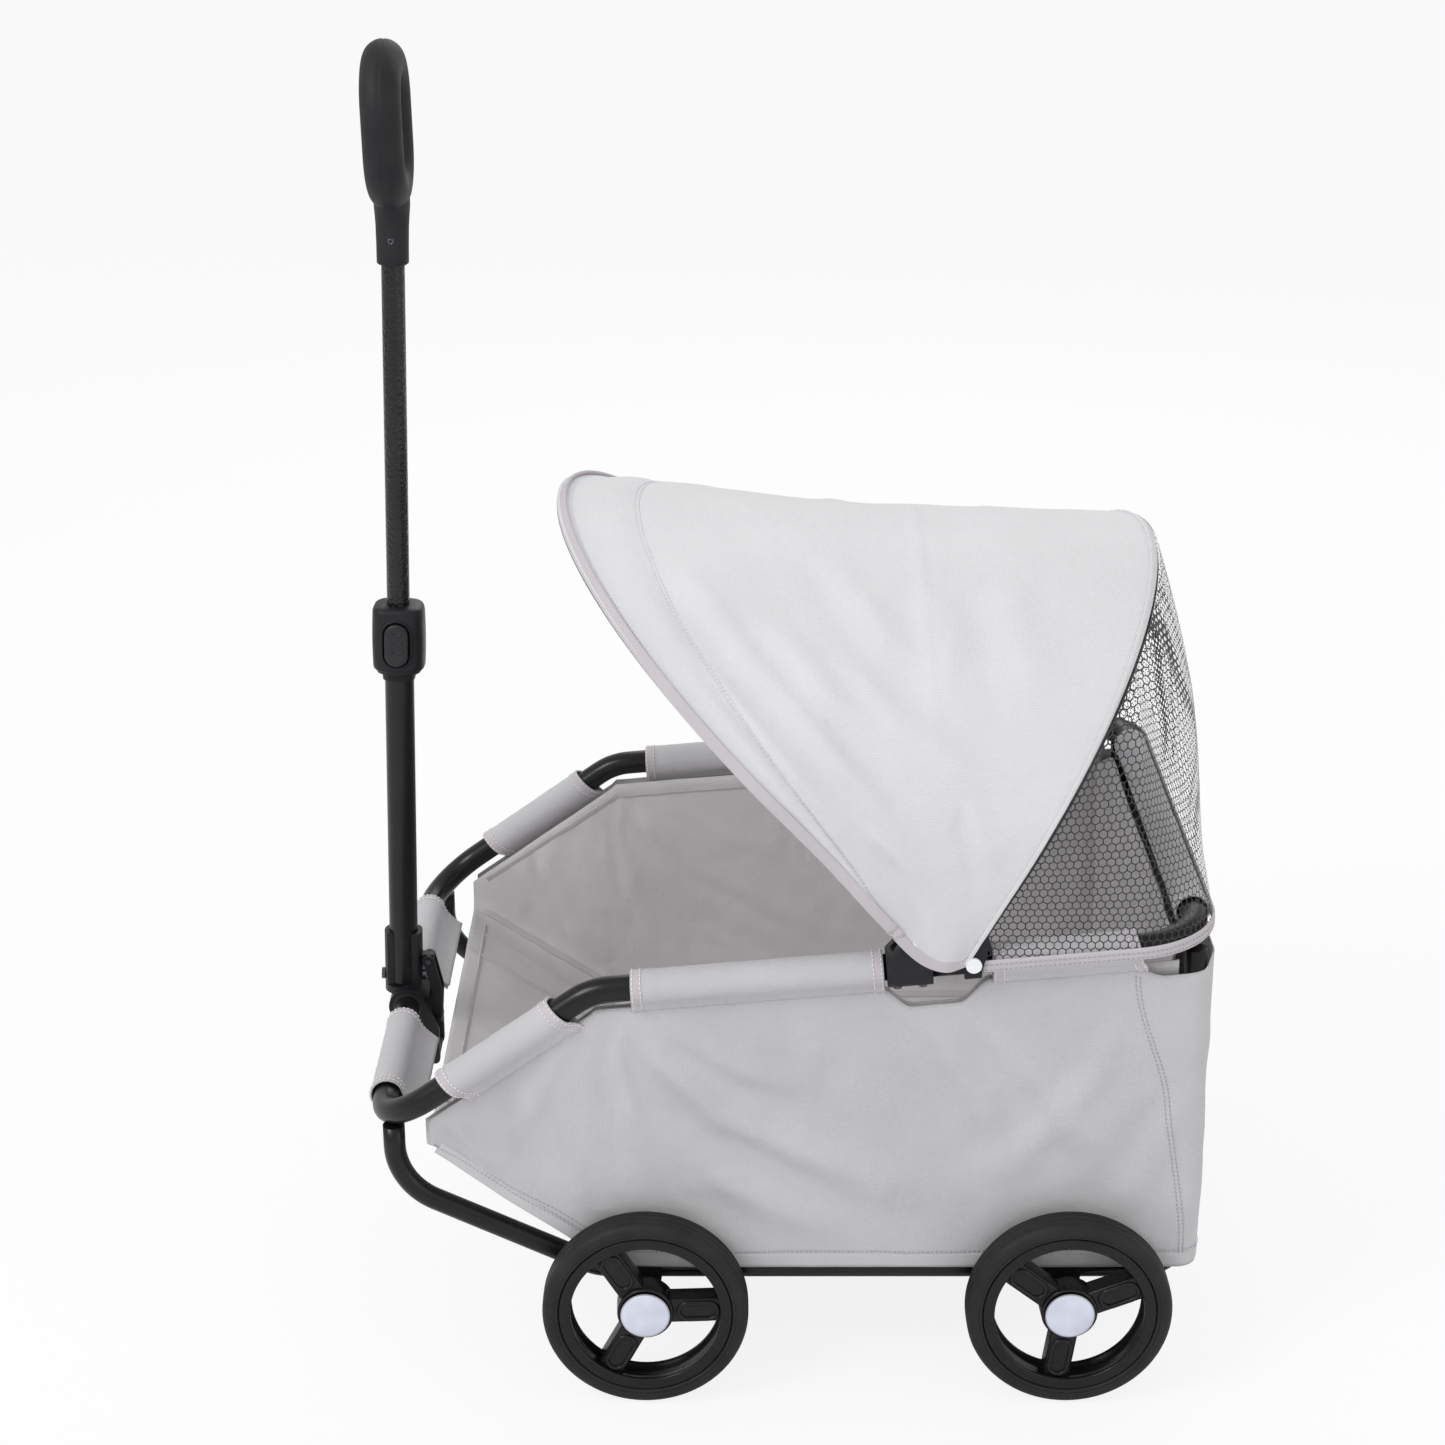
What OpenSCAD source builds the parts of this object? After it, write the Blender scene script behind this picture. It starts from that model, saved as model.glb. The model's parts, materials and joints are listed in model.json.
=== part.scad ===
// Children's pull wagon: a fabric tub hung in a bent tube frame, four spoked wheels,
// a hinged telescopic pull pole with a loop handle, and a folding half canopy.
// +X points to the rear, +Y to the wagon's left, +Z up; the pull handle is at -X.

/* [Wheels] */
// Outside diameter of each wheel
wheel_d = 150; // [120:1:180]
// Width of the tyre
tyre_w = 26; // [22:1:32]
// Radial thickness of the tyre
tyre_t = 12; // [9:1:16]
// Distance between the two axles
wheelbase = 308; // [280:1:340]
// Distance between the outer faces of the left and right tyres
track_w = 500; // [490:1:540]
// Diameter of the axle rods
axle_d = 8; // [6:0.5:10]
// Width across each box spoke
spoke_w = 20; // [14:1:26]
// Number of spokes in a wheel
spoke_n = 3; // [3:1:5]

/* [Frame] */
// Diameter of the rim tube around the tub's mouth
rim_d = 19; // [16:0.5:22]
// Distance between the centre lines of the two rim rails
rim_w = 430; // [410:1:440]
// Height of the rim rail's centre line where it bends down to the front
rail_z = 320; // [300:1:340]
// Rise of the rim rails towards the rear, in degrees
rail_rise = 5.1; // [2:0.1:7]
// Height of the front bar's centre line
front_bar_z = 209; // [195:1:225]
// Centre line of the front bar, ahead of the origin
front_bar_x = -290; // [-300:1:-280]
// Where the rim rails bend down towards the front bar
rail_bend_x = -136; // [-150:1:-125]
// Centre line of the rear bar
rear_bar_x = 294; // [285:1:305]
// Bend radius of the rim tube's corners
rim_corner_r = 46; // [35:1:55]
// Diameter of the two side frame tubes
side_tube_d = 16; // [12:0.5:18]
// Distance between the centre lines of the two side frame tubes
side_tube_w = 404; // [380:1:405]
// Height of the lower run of the side frame tubes
lower_run_z = 88; // [84:1:100]
// Wall of all the frame tubes
tube_wall = 1.2; // [1:0.1:2]

/* [Tub] */
// Height of the tub's fabric floor
floor_z = 101; // [99:1:115]
// Thickness of the tub's fabric panels
fabric_t = 2; // [1.5:0.1:3]
// Height of the hem along the bottom of the side panels
hem_z = 95; // [90:1:100]
// Thickness of the stiff floor board
board_t = 4; // [3:0.5:6]

/* [Pole] */
// Outside diameter of the lower pole
lower_pole_d = 22; // [20:0.5:25]
// Outside diameter of the sliding upper pole
upper_pole_d = 17; // [15:0.5:18]
// Length of the lower pole
lower_pole_len = 312; // [290:1:340]
// Length of the upper pole
upper_pole_len = 330; // [300:1:332]
// Length of upper pole left inside the lower pole at full stretch
pole_overlap = 56; // [50:1:80]
// Lean of the standing pole towards the rear, in degrees
pole_lean = 1.5; // [0:0.1:5]
// Height of the handle loop
loop_h = 122; // [110:1:135]
// Width of the handle loop
loop_w = 92; // [85:1:110]
// Diameter of the handle's grip section
grip_d = 29; // [22:0.5:30]
// Height of the lock collar
collar_h = 54; // [48:1:60]
// Travel of the lock button
button_travel = 3; // [2:0.5:4]

/* [Canopy] */
// Diameter of the canopy hoops
hoop_d = 8; // [6:0.5:10]
// Half the width of the canopy hoops
hoop_half_w = 225; // [222:1:235]
// Length of the front hoop's straight legs
front_leg = 140; // [120:1:160]
// Length of the rear hoop's straight legs
rear_leg = 56; // [45:1:80]
// Lean of the front hoop ahead of vertical, in degrees
front_hoop_tilt = 43; // [38:1:46]
// Lean of the rear hoop behind vertical, in degrees
rear_hoop_tilt = 30; // [26:1:34]
// Centre of the canopy clamps and of the front hoop's hinge
clamp_x = 88; // [80:1:92]
// Centre of the clips that hold the rear hoop
clip_x = 132; // [126:1:138]
// Thickness of the canopy cloth
cloth_t = 1.5; // [1:0.1:2]

/* [Hidden] */
$fn = 48;
tube_sides = 16;     // flats round a bent tube
bend_steps = 7;      // steps round each bend
fit_gap = 0.05;      // radial clearance of a shaft that turns or slides
soft_gap = 0.4;      // clearance between cloth and what it lies on
part_gap = 0.3;      // clearance between neighbouring pieces
SIDES = [-1, 1];     // right side, left side

wheel_r = wheel_d / 2;
front_axle_x = -wheelbase / 2 + 55;
rear_axle_x = wheelbase / 2 + 55;
wheel_y = (track_w - tyre_w) / 2;
rim_out_r = wheel_r - tyre_t;
rim_in_r = rim_out_r - 8;
hub_r = 16;
bush_r = 7;
rim_face = tyre_w / 2 - 2;

rail_y = rim_w / 2;
side_y = side_tube_w / 2;
function rail_height(x) = rail_z + tan(rail_rise) * (x - rail_bend_x);
front_bar = [front_bar_x, 0, front_bar_z];
nose_drop = atan2(rail_z - front_bar_z, rail_bend_x - front_bar_x);
rim_r = rim_d / 2;
tube_r = side_tube_d / 2;

// Side view of a side frame tube, from the front corner round to the rear corner.
side_path = [
  [front_bar_x + 9, front_bar_z + tan(nose_drop) - rim_r / cos(nose_drop) - part_gap],
  [front_bar_x + 9, 158],
  [front_axle_x - 36, lower_run_z],
  [rear_bar_x + 2, lower_run_z],
  [rear_bar_x - 2, rail_height(rear_bar_x - 14) - rim_r - part_gap]
];

pole_foot = [front_bar_x - 4, 0, front_bar_z + rim_r + 2];
lower_bore = upper_pole_d / 2 + fit_gap;
upper_foot = lower_pole_len - pole_overlap;
upper_top = upper_foot + upper_pole_len;
collar_z = lower_pole_len - collar_h + 3;
collar_w = 36;
collar_len = 39;
button_z = collar_z + 24;
button_h = 40;
button_w = 24;
button_t = 5;
button_y = -collar_w / 2 - 3;
pocket_floor_y = -lower_pole_d / 2 - 0.8;
neck_h = 42;
neck_r = 15;
socket_h = 14;

hinge_z = rail_height(clamp_x) + 24;
clip_z = rail_height(clip_x);
hoop_r = hoop_d / 2;
hinge_pin_r = 2.5;
lug_w = 22;
clamp_len = 32;
clamp_t = 5;
clip_len = 12;
clip_t = 3.5;

// ---- Bent tubes ----

function unit(v) = v / norm(v);
function side_vector(v) = abs(v[1]) < 0.9 ? unit(cross(v, [0, 1, 0])) : [1, 0, 0];
function place(o, x, y, z) = [
  [x[0], y[0], z[0], o[0]], [x[1], y[1], z[1], o[1]], [x[2], y[2], z[2], o[2]], [0, 0, 0, 1]
];
function turn(a, b) = acos(max(-1, min(1, a * b)));

// A straight rod of radius r from point a to point b.
module rod(a, b, r) {
  z = unit(b - a);
  x = side_vector(z);
  multmatrix(place(a, x, cross(z, x), z)) cylinder(h = norm(b - a), r = r);
}

// A bend of radius bend where direction a meets direction b at point p.
module elbow(p, a, b, bend, r) {
  angle = turn(a, b);
  n = unit(b - (b * a) * a);
  centre = p - a * bend * tan(angle / 2) + n * bend;
  multmatrix(place(centre, -n, a, cross(-n, a)))
    rotate_extrude(angle = angle, $fn = 96) translate([bend, 0]) circle(r = r);
}

// A solid rod of radius r through all the points, with each inner point rounded by its bend.
module bent_rod(points, bends, r) {
  last = len(points) - 1;
  dirs = [for (i = [0:last - 1]) unit(points[i + 1] - points[i])];
  cuts = [for (i = [0:last])
    i == 0 || i == last ? 0 : bends[i - 1] * tan(turn(dirs[i - 1], dirs[i]) / 2)];
  for (i = [0:last - 1])
    rod(points[i] + dirs[i] * cuts[i], points[i + 1] - dirs[i] * cuts[i + 1], r);
  for (i = [1:last - 1])
    elbow(points[i], dirs[i - 1], dirs[i], bends[i - 1], r);
}

// Centre and direction of each ring along a route whose inner points are rounded by bends.
function route_rings(points, bends) =
  let (
    last = len(points) - 1,
    dirs = [for (i = [0:last - 1]) unit(points[i + 1] - points[i])]
  )
  concat(
    [[points[0], dirs[0]]],
    [for (i = [1:last - 1])
      let (
        a = dirs[i - 1],
        b = dirs[i],
        angle = turn(a, b),
        n = unit(b - (b * a) * a),
        r = bends[i - 1],
        centre = points[i] - a * r * tan(angle / 2) + n * r
      )
      for (k = [0:bend_steps])
        let (f = angle * k / bend_steps)
        [centre + r * (a * sin(f) - n * cos(f)), a * cos(f) + n * sin(f)]],
    [[points[last], dirs[last - 1]]]
  );
function ring_points(ring, r, up) =
  let (x = unit(cross(ring[1], up)), y = cross(ring[1], x))
  [for (k = [0:tube_sides - 1])
    let (f = 360 * k / tube_sides)
    ring[0] + r * (x * cos(f) + y * sin(f))];

// A bent tube, swept round its route; up is a direction that the route never takes.
module bent_tube(points, bends, r, wall, up) {
  rings = route_rings(points, bends);
  n = len(rings);
  m = tube_sides;
  spots = [for (radius = [r, r - wall], ring = rings) each ring_points(ring, radius, up)];
  function id(layer, i, k) = (layer * n + i) * m + (k % m);
  walls = [for (i = [0:n - 2], k = [0:m - 1])
    each [[id(0, i, k), id(0, i, k + 1), id(0, i + 1, k + 1), id(0, i + 1, k)],
          [id(1, i, k), id(1, i + 1, k), id(1, i + 1, k + 1), id(1, i, k + 1)]]];
  ends = [for (k = [0:m - 1])
    each [[id(0, 0, k), id(1, 0, k), id(1, 0, k + 1), id(0, 0, k + 1)],
          [id(0, n - 1, k), id(0, n - 1, k + 1), id(1, n - 1, k + 1), id(1, n - 1, k)]]];
  polyhedron(spots, concat(walls, ends), convexity = 10);
}

// ---- Frame ----

function rail_point(x, side) = [x, side * rail_y, rail_height(x)];
function nose_point(side) = [front_bar_x, side * rail_y, front_bar_z];

module rim_front_tube() {
  color("#1c1c1e")
    bent_tube(
      [
        rail_point(clamp_x, -1), rail_point(rail_bend_x, -1), nose_point(-1),
        nose_point(1), rail_point(rail_bend_x, 1), rail_point(clamp_x, 1)
      ],
      [50, rim_corner_r, rim_corner_r, 50], rim_r, tube_wall, [0, 0, 1]
    );
}

module rim_rear_tube() {
  color("#1c1c1e")
    bent_tube(
      [
        rail_point(clamp_x + part_gap, -1), rail_point(rear_bar_x, -1),
        rail_point(rear_bar_x, 1), rail_point(clamp_x + part_gap, 1)
      ],
      [rim_corner_r, rim_corner_r], rim_r, tube_wall, [0, 0, 1]
    );
}

spigot_r = (rim_r - tube_wall) * cos(180 / tube_sides) - fit_gap;

// Spigots that join the front and rear halves of the rim inside the canopy clamps.
module rim_joiners() {
  color("#8a8a8e")
    for (side = SIDES)
      rod(rail_point(clamp_x - 22, side), rail_point(clamp_x + 22, side), spigot_r);
}

module side_frame(side) {
  color("#1c1c1e")
    bent_tube([for (p = side_path) [p[0], side * side_y, p[1]]], [50, 40, 30], tube_r, tube_wall, [0, 1, 0]);
}
module side_frame_left() side_frame(1);
module side_frame_right() side_frame(-1);

module cross_tube(x) {
  reach = side_y - tube_r - 0.2;
  color("#1c1c1e")
    translate([x, 0, lower_run_z])
      rotate([90, 0, 0])
        difference() {
          cylinder(h = 2 * reach, r = tube_r, center = true);
          cylinder(h = 2 * reach + 2, r = tube_r - tube_wall, center = true);
        }
}
module cross_tube_front() cross_tube(front_axle_x + 34);
module cross_tube_rear() cross_tube(rear_axle_x - 34);

module axle(x) {
  color("#b8b8bc")
    translate([x, 0, wheel_r])
      rotate([90, 0, 0])
        cylinder(h = 2 * (wheel_y + rim_face - 2), r = axle_d / 2, center = true);
}
module axle_front() axle(front_axle_x);
module axle_rear() axle(rear_axle_x);

// A moulded block that wraps the lower run of the side frame and carries the axle.
module axle_block(x, side) {
  block_w = 17;
  wall = 4;
  color("#2a2a2c")
    translate([x, side * side_y, 0])
      rotate([90, 0, 0])
        difference() {
          linear_extrude(block_w, center = true)
            hull() {
              translate([0, lower_run_z]) circle(r = tube_r + wall);
              translate([0, wheel_r]) circle(r = axle_d / 2 + wall + 2);
            }
          translate([0, wheel_r, 0]) cylinder(h = block_w + 2, r = axle_d / 2, center = true);
          translate([0, lower_run_z, 0]) rotate([0, 90, 0]) cylinder(h = 60, r = tube_r, center = true);
        }
}
module axle_block_front_left() axle_block(front_axle_x, 1);
module axle_block_front_right() axle_block(front_axle_x, -1);
module axle_block_rear_left() axle_block(rear_axle_x, 1);
module axle_block_rear_right() axle_block(rear_axle_x, -1);

// ---- Tub ----

board_x0 = front_axle_x - 22;
board_x1 = rear_bar_x - 26;
panel_y = rail_y - 1;

module floor_board() {
  color("#3a3a3c")
    translate([board_x0, -side_y + tube_r + 6, lower_run_z + tube_r + 0.2])
      cube([board_x1 - board_x0, 2 * (side_y - tube_r - 6), board_t]);
}

tub_floor_z = lower_run_z + tube_r + 0.2 + board_t + 0.2;

module tub_floor() {
  color("#b9bcc0")
    translate([board_x0 - 6, -panel_y + fabric_t + 1, tub_floor_z])
      cube([board_x1 - board_x0 + 12, 2 * (panel_y - fabric_t - 1), fabric_t]);
}

// The sleeve that the side panel's top edge forms round the rim, over one straight run.
module sleeve(a, b) {
  difference() {
    rod(a, b, rim_r + soft_gap + fabric_t);
    rod(a - unit(b - a), b + unit(b - a), rim_r + soft_gap);
  }
}

nose_dir = unit([rail_bend_x - front_bar_x, 0, rail_z - front_bar_z]);
rail_dir = unit([1, 0, tan(rail_rise)]);

module tub_side(side) {
  nose = nose_point(side);
  bend = rail_point(rail_bend_x, side);
  under = rim_r + soft_gap + fabric_t / 2;
  color("#c9ccd0")
    difference() {
      tub_side_cloth(side, nose, bend, under);
      for (spot = [[clamp_x, clamp_len + 4, clamp_t + 4], [clip_x, clip_len + 4, clip_t + 1]])
        translate([spot[0] - spot[1] / 2, side * rail_y - 20, rail_height(spot[0]) - rim_r - spot[2]])
          cube([spot[1], 40, 60]);
    }
}

module tub_side_cloth(side, nose, bend, under) {
  sleeve(nose + nose_dir * 62, bend - nose_dir * 34);
  sleeve(bend + rail_dir * 34, rail_point(clamp_x - 24, side));
  sleeve(rail_point(clip_x + 22, side), rail_point(rear_bar_x - 60, side));
  translate([0, side * panel_y, 0])
    rotate([90, 0, 0])
      linear_extrude(fabric_t, center = true)
        polygon([
          [front_bar_x + 62, front_bar_z + 62 * tan(nose_drop) - under / cos(nose_drop)],
          [rail_bend_x + 3, rail_z - under - 3],
          [rear_bar_x - 8, rail_height(rear_bar_x) - under - 2],
          [rear_bar_x - 14, hem_z + 12],
          [rear_bar_x - 26, hem_z],
          [front_axle_x - 10, hem_z],
          [front_bar_x + 66, front_bar_z - 4]
        ]);
}
module tub_side_left() tub_side(1);
module tub_side_right() tub_side(-1);

// The flat part of an end panel, with its strips up to the sleeves on the end bar.
module end_panel(face, strip, near) {
  half = panel_y - fabric_t - 1;
  far = rail_y - rim_corner_r - 12;
  rotate([90, 0, 0]) linear_extrude(2 * half, center = true) polygon(face);
  for (side = SIDES)
    translate([0, side * (far + near) / 2, 0])
      rotate([90, 0, 0])
        linear_extrude(far - near, center = true)
          polygon(strip);
}

module tub_front() {
  top = [front_bar_x + 30, front_bar_z - 18];
  foot = [board_x0 - 8.5, tub_floor_z + 4];
  notch = latch_w + 10;
  color("#c9ccd0") {
    for (side = SIDES)
      sleeve([front_bar_x, side * 46, front_bar_z],
             [front_bar_x, side * (rail_y - rim_corner_r - 4), front_bar_z]);
    difference() {
      end_panel(
        [top, top + [fabric_t, fabric_t], foot + [fabric_t, fabric_t], foot],
        [[front_bar_x + 8, front_bar_z - 9.5], [front_bar_x + 9.5, front_bar_z - 8],
         top + [fabric_t, fabric_t], top],
        46
      );
      // Dip in the top edge, so that the latch's tail swings past it.
      translate([top[0], 0, top[1]]) cube(notch, center = true);
    }
  }
}

module tub_rear() {
  bar_z = rail_height(rear_bar_x);
  top = [rear_bar_x - 16, bar_z - 16];
  foot = [board_x1 + 6.5, tub_floor_z + fabric_t + 0.5];
  color("#c9ccd0") {
    sleeve([rear_bar_x, -(rail_y - rim_corner_r - 4), bar_z],
           [rear_bar_x, rail_y - rim_corner_r - 4, bar_z]);
    end_panel(
      [top, top + [fabric_t, 0], foot + [fabric_t, 0], foot],
      [[rear_bar_x - 9.5, bar_z - 8], [rear_bar_x - 8, bar_z - 9.5],
       top + [fabric_t, 0], top],
      0
    );
  }
}

// ---- Wheels ----

module tyre(x, side) {
  r0 = rim_out_r + part_gap;
  w = tyre_w / 2;
  color("#2b2b2d")
    translate([x, side * wheel_y, wheel_r])
      rotate([90, 0, 0])
        rotate_extrude($fn = 96)
          polygon(concat(
            [[r0, -w + 1], [r0, w - 1], [r0 + 1, w]],
            [for (a = [90:-15:-90]) [wheel_r - 6 + 6 * cos(a), (w - 6) * sign(a) + 6 * sin(a)]],
            [[r0 + 1, -w]]
          ));
}

// Barrel, hub and box spokes of one wheel, moulded as one piece.
module wheel(x, side) {
  w = rim_face;
  color("#303033")
    translate([x, side * wheel_y, wheel_r])
      rotate([90, 0, 0])
        difference() {
          union() {
            rotate_extrude($fn = 96)
              polygon([
                [rim_in_r, -w], [rim_out_r, -w], [rim_out_r, w], [rim_in_r, w],
                [rim_in_r + 3, w - 3], [rim_in_r + 3, -w + 3]
              ]);
            cylinder(h = 2 * w, r = hub_r, center = true);
            for (i = [0:spoke_n - 1])
              rotate(i * 360 / spoke_n)
                translate([hub_r - 4, -spoke_w / 2, -w + 2])
                  cube([rim_in_r - hub_r + 8, spoke_w, 2 * w - 4]);
          }
          cylinder(h = 2 * w + 2, r = bush_r, center = true);
        }
}

module bush(x, side) {
  color("#d8d8da")
    translate([x, side * wheel_y, wheel_r])
      rotate([90, 0, 0])
        difference() {
          cylinder(h = 2 * rim_face - 1, r = bush_r, center = true);
          cylinder(h = 2 * rim_face + 2, r = axle_d / 2 + fit_gap, center = true);
        }
}

// Domed cap that closes the hub.
module cap(x, side) {
  dome_r = 60;
  cap_r = 17.6;
  rise = dome_r - sqrt(dome_r * dome_r - cap_r * cap_r);
  color("#e9ecf4")
    translate([x, side * (wheel_y + rim_face + 0.1), wheel_r])
      rotate([-side * 90, 0, 0])
        rotate_extrude($fn = 72)
          polygon(concat(
            [[0, 0], [cap_r, 0], [cap_r, 1]],
            [for (i = [1:8])
              let (r = cap_r * (1 - i / 8))
                [r, 1 + sqrt(dome_r * dome_r - r * r) - dome_r + rise]]
          ));
}

module tyre_front_left() tyre(front_axle_x, 1);
module wheel_front_left() wheel(front_axle_x, 1);
module bush_front_left() bush(front_axle_x, 1);
module cap_front_left() cap(front_axle_x, 1);
module tyre_front_right() tyre(front_axle_x, -1);
module wheel_front_right() wheel(front_axle_x, -1);
module bush_front_right() bush(front_axle_x, -1);
module cap_front_right() cap(front_axle_x, -1);
module tyre_rear_left() tyre(rear_axle_x, 1);
module wheel_rear_left() wheel(rear_axle_x, 1);
module bush_rear_left() bush(rear_axle_x, 1);
module cap_rear_left() cap(rear_axle_x, 1);
module tyre_rear_right() tyre(rear_axle_x, -1);
module wheel_rear_right() wheel(rear_axle_x, -1);
module bush_rear_right() bush(rear_axle_x, -1);
module cap_rear_right() cap(rear_axle_x, -1);

// ---- Pull pole ----

saddle_w = 30;
bush_out_r = rim_r + 1.8;
saddle_r = rim_r + 5;
bracket_t = 5;
bolt_z = 8;
bolt_r = 2.5;
wing_r = lower_pole_d / 2 + part_gap;
wing_t = 3.5;
wing_h = 46;
latch_z = 22;
latch_x = wing_r + wing_t + 5;
latch_w = 14;
latch_pin_r = 2;
latch_drop = [[0, 0, 4.5], [7, -26, 4], [6, -52, 4]];

// Everything on the pole is drawn along its own axis and then leant back.
module on_pole() translate(pole_foot) rotate([0, pole_lean, 0]) children();

// Split bush fixed round the front bar, on which the saddle turns.
module hinge_bush() {
  color("#d0d0d2")
    translate(front_bar)
      rotate([90, 0, 0])
        difference() {
          cylinder(h = saddle_w + 2 * bracket_t + 4 * part_gap, r = bush_out_r, center = true);
          cylinder(h = 80, r = rim_r, center = true);
        }
}

// Saddle that turns on the front bar, with one wing ahead of the pole and one behind it.
module pole_yoke() {
  color("#242426")
    difference() {
      union() {
        translate(front_bar) rotate([90, 0, 0]) cylinder(h = saddle_w, r = saddle_r, center = true);
        on_pole()
          difference() {
            translate([0, 0, -4]) cylinder(h = wing_h + 4, r = wing_r + wing_t);
            for (side = SIDES)
              translate([-40, side > 0 ? 9 : -49, 2]) cube([80, 40, wing_h + 20]);
          }
        on_pole()
          translate([wing_r + 1, -latch_w / 2 + 3, latch_z - 4.5])
            cube([latch_x - wing_r + 3, latch_w - 6, 9]);
      }
      on_pole() {
        cylinder(h = wing_h + 20, r = wing_r);
        translate([0, 0, bolt_z]) rotate([0, 90, 0]) cylinder(h = 80, r = bolt_r, center = true);
        translate([latch_x, 0, latch_z])
          rotate([90, 0, 0]) cylinder(h = 40, r = latch_pin_r, center = true);
      }
      translate(front_bar) rotate([90, 0, 0]) cylinder(h = 80, r = bush_out_r + fit_gap, center = true);
    }
}

// Bolt that pins the pole's foot between the two wings.
module yoke_bolt() {
  reach = wing_r + wing_t;
  color("#9a9a9e")
    on_pole()
      translate([0, 0, bolt_z])
        rotate([0, 90, 0]) {
          cylinder(h = 2 * reach, r = bolt_r, center = true);
          translate([0, 0, -reach - 2.5]) cylinder(h = 2.5, r = 4.5);
          translate([0, 0, reach]) cylinder(h = 3, r = 4.5);
        }
}

module lower_pole() {
  color("#232325")
    on_pole()
      difference() {
        translate([0, 0, 1]) cylinder(h = lower_pole_len - 1, r = lower_pole_d / 2);
        cylinder(h = lower_pole_len + 1, r = lower_bore);
        translate([0, 0, bolt_z]) rotate([0, 90, 0]) cylinder(h = 60, r = bolt_r, center = true);
      }
}

module oval(w, h) {
  hull()
    for (s = SIDES)
      translate([0, s * (h - w) / 2]) circle(d = w);
}

// Collar round the pole's joint, with a pocket on its right face for the lock button.
module lock_collar() {
  color("#19191b")
    on_pole()
      difference() {
        union() {
          translate([0, 0, collar_z])
            linear_extrude(collar_h)
              hull()
                for (x = SIDES, y = SIDES)
                  translate([x * (collar_len / 2 - 12), y * (collar_w / 2 - 12)]) circle(r = 12);
          translate([0, 0, collar_z + collar_h]) cylinder(h = 4, r = upper_pole_d / 2 + 5);
          translate([0, 0, collar_z - 6]) cylinder(h = 6, r = lower_pole_d / 2 + 3.5);
        }
        translate([0, 0, collar_z - 10]) cylinder(h = lower_pole_len - collar_z + 10, r = lower_pole_d / 2);
        cylinder(h = 2 * lower_pole_len, r = upper_pole_d / 2 + fit_gap);
        translate([0, -collar_w / 2 - 1, button_z])
          rotate([-90, 0, 0])
            linear_extrude(pocket_floor_y + collar_w / 2 + 1)
              oval(button_w + 2 * part_gap, button_h + 2 * part_gap);
      }
}

// Oval button pressed towards the pole to free the slide.
module lock_button() {
  color("#2e2e31")
    on_pole()
      translate([0, button_y, button_z])
        rotate([-90, 0, 0])
          linear_extrude(button_t)
            oval(button_w, button_h);
}

// Flat leaf spring under the lock button.
module lock_spring() {
  y0 = button_y + button_t + 0.1;
  color("#b8b8bc")
    on_pole()
      translate([-3, y0, button_z - 12])
        cube([6, pocket_floor_y - 0.1 - y0, 24]);
}

// Sprung lever behind the yoke: two cheeks on its pin, joined by a round paddle at the foot.
module latch_lever() {
  foot = latch_drop[2];
  color("#2e2e31")
    on_pole()
      translate([latch_x, 0, latch_z])
        difference() {
          union() {
            for (side = SIDES)
              translate([0, side * (latch_w / 2 - 1.2), 0])
                rotate([90, 0, 0])
                  linear_extrude(2.4, center = true)
                    for (i = [0, 1])
                      hull()
                        for (spot = [latch_drop[i], latch_drop[i + 1]])
                          translate([spot[0], spot[1]]) circle(r = spot[2]);
            translate([foot[0], 0, foot[1]])
              rotate([90, 0, 0]) cylinder(h = latch_w + 4, r = foot[2] + 0.5, center = true);
          }
          rotate([90, 0, 0]) cylinder(h = 40, r = latch_pin_r + fit_gap, center = true);
        }
}

module latch_pin() {
  color("#9a9a9e")
    on_pole()
      translate([latch_x, 0, latch_z])
        rotate([90, 0, 0])
          cylinder(h = latch_w + 3, r = latch_pin_r, center = true);
}

module upper_pole() {
  color("#141416")
    on_pole()
      translate([0, 0, upper_foot])
        difference() {
          cylinder(h = upper_pole_len, r = upper_pole_d / 2);
          translate([0, 0, -1]) cylinder(h = upper_pole_len + 2, r = upper_pole_d / 2 - tube_wall);
        }
}

// Loop handle: a socket on the pole and a closed oval ring across the wagon.
module handle_grip() {
  bar = grip_d / 2;
  bend = loop_w / 2 - bar - 1;
  half = loop_w / 2 - bar;
  top = loop_h - 2 * bar;
  ring = [
    [0, 0, 0], [0, half, 0], [0, half, top], [0, -half, top], [0, -half, 0], [0, 0, 0]
  ];
  color("#1a1a1c")
    on_pole()
      translate([0, 0, upper_top])
        difference() {
          union() {
            translate([0, 0, -socket_h]) cylinder(h = neck_h, r = neck_r);
            translate([0, 0, bar + 22]) bent_rod(ring, [bend, bend, bend, bend], bar);
          }
          translate([0, 0, -socket_h - 1]) cylinder(h = socket_h + 1, r = upper_pole_d / 2);
        }
}

module grip_screw() {
  color("#5a5a5e")
    on_pole()
      translate([0, -neck_r - 0.1, upper_top + 4])
        rotate([90, 0, 0])
          cylinder(h = 1.2, r = 3);
}

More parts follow.
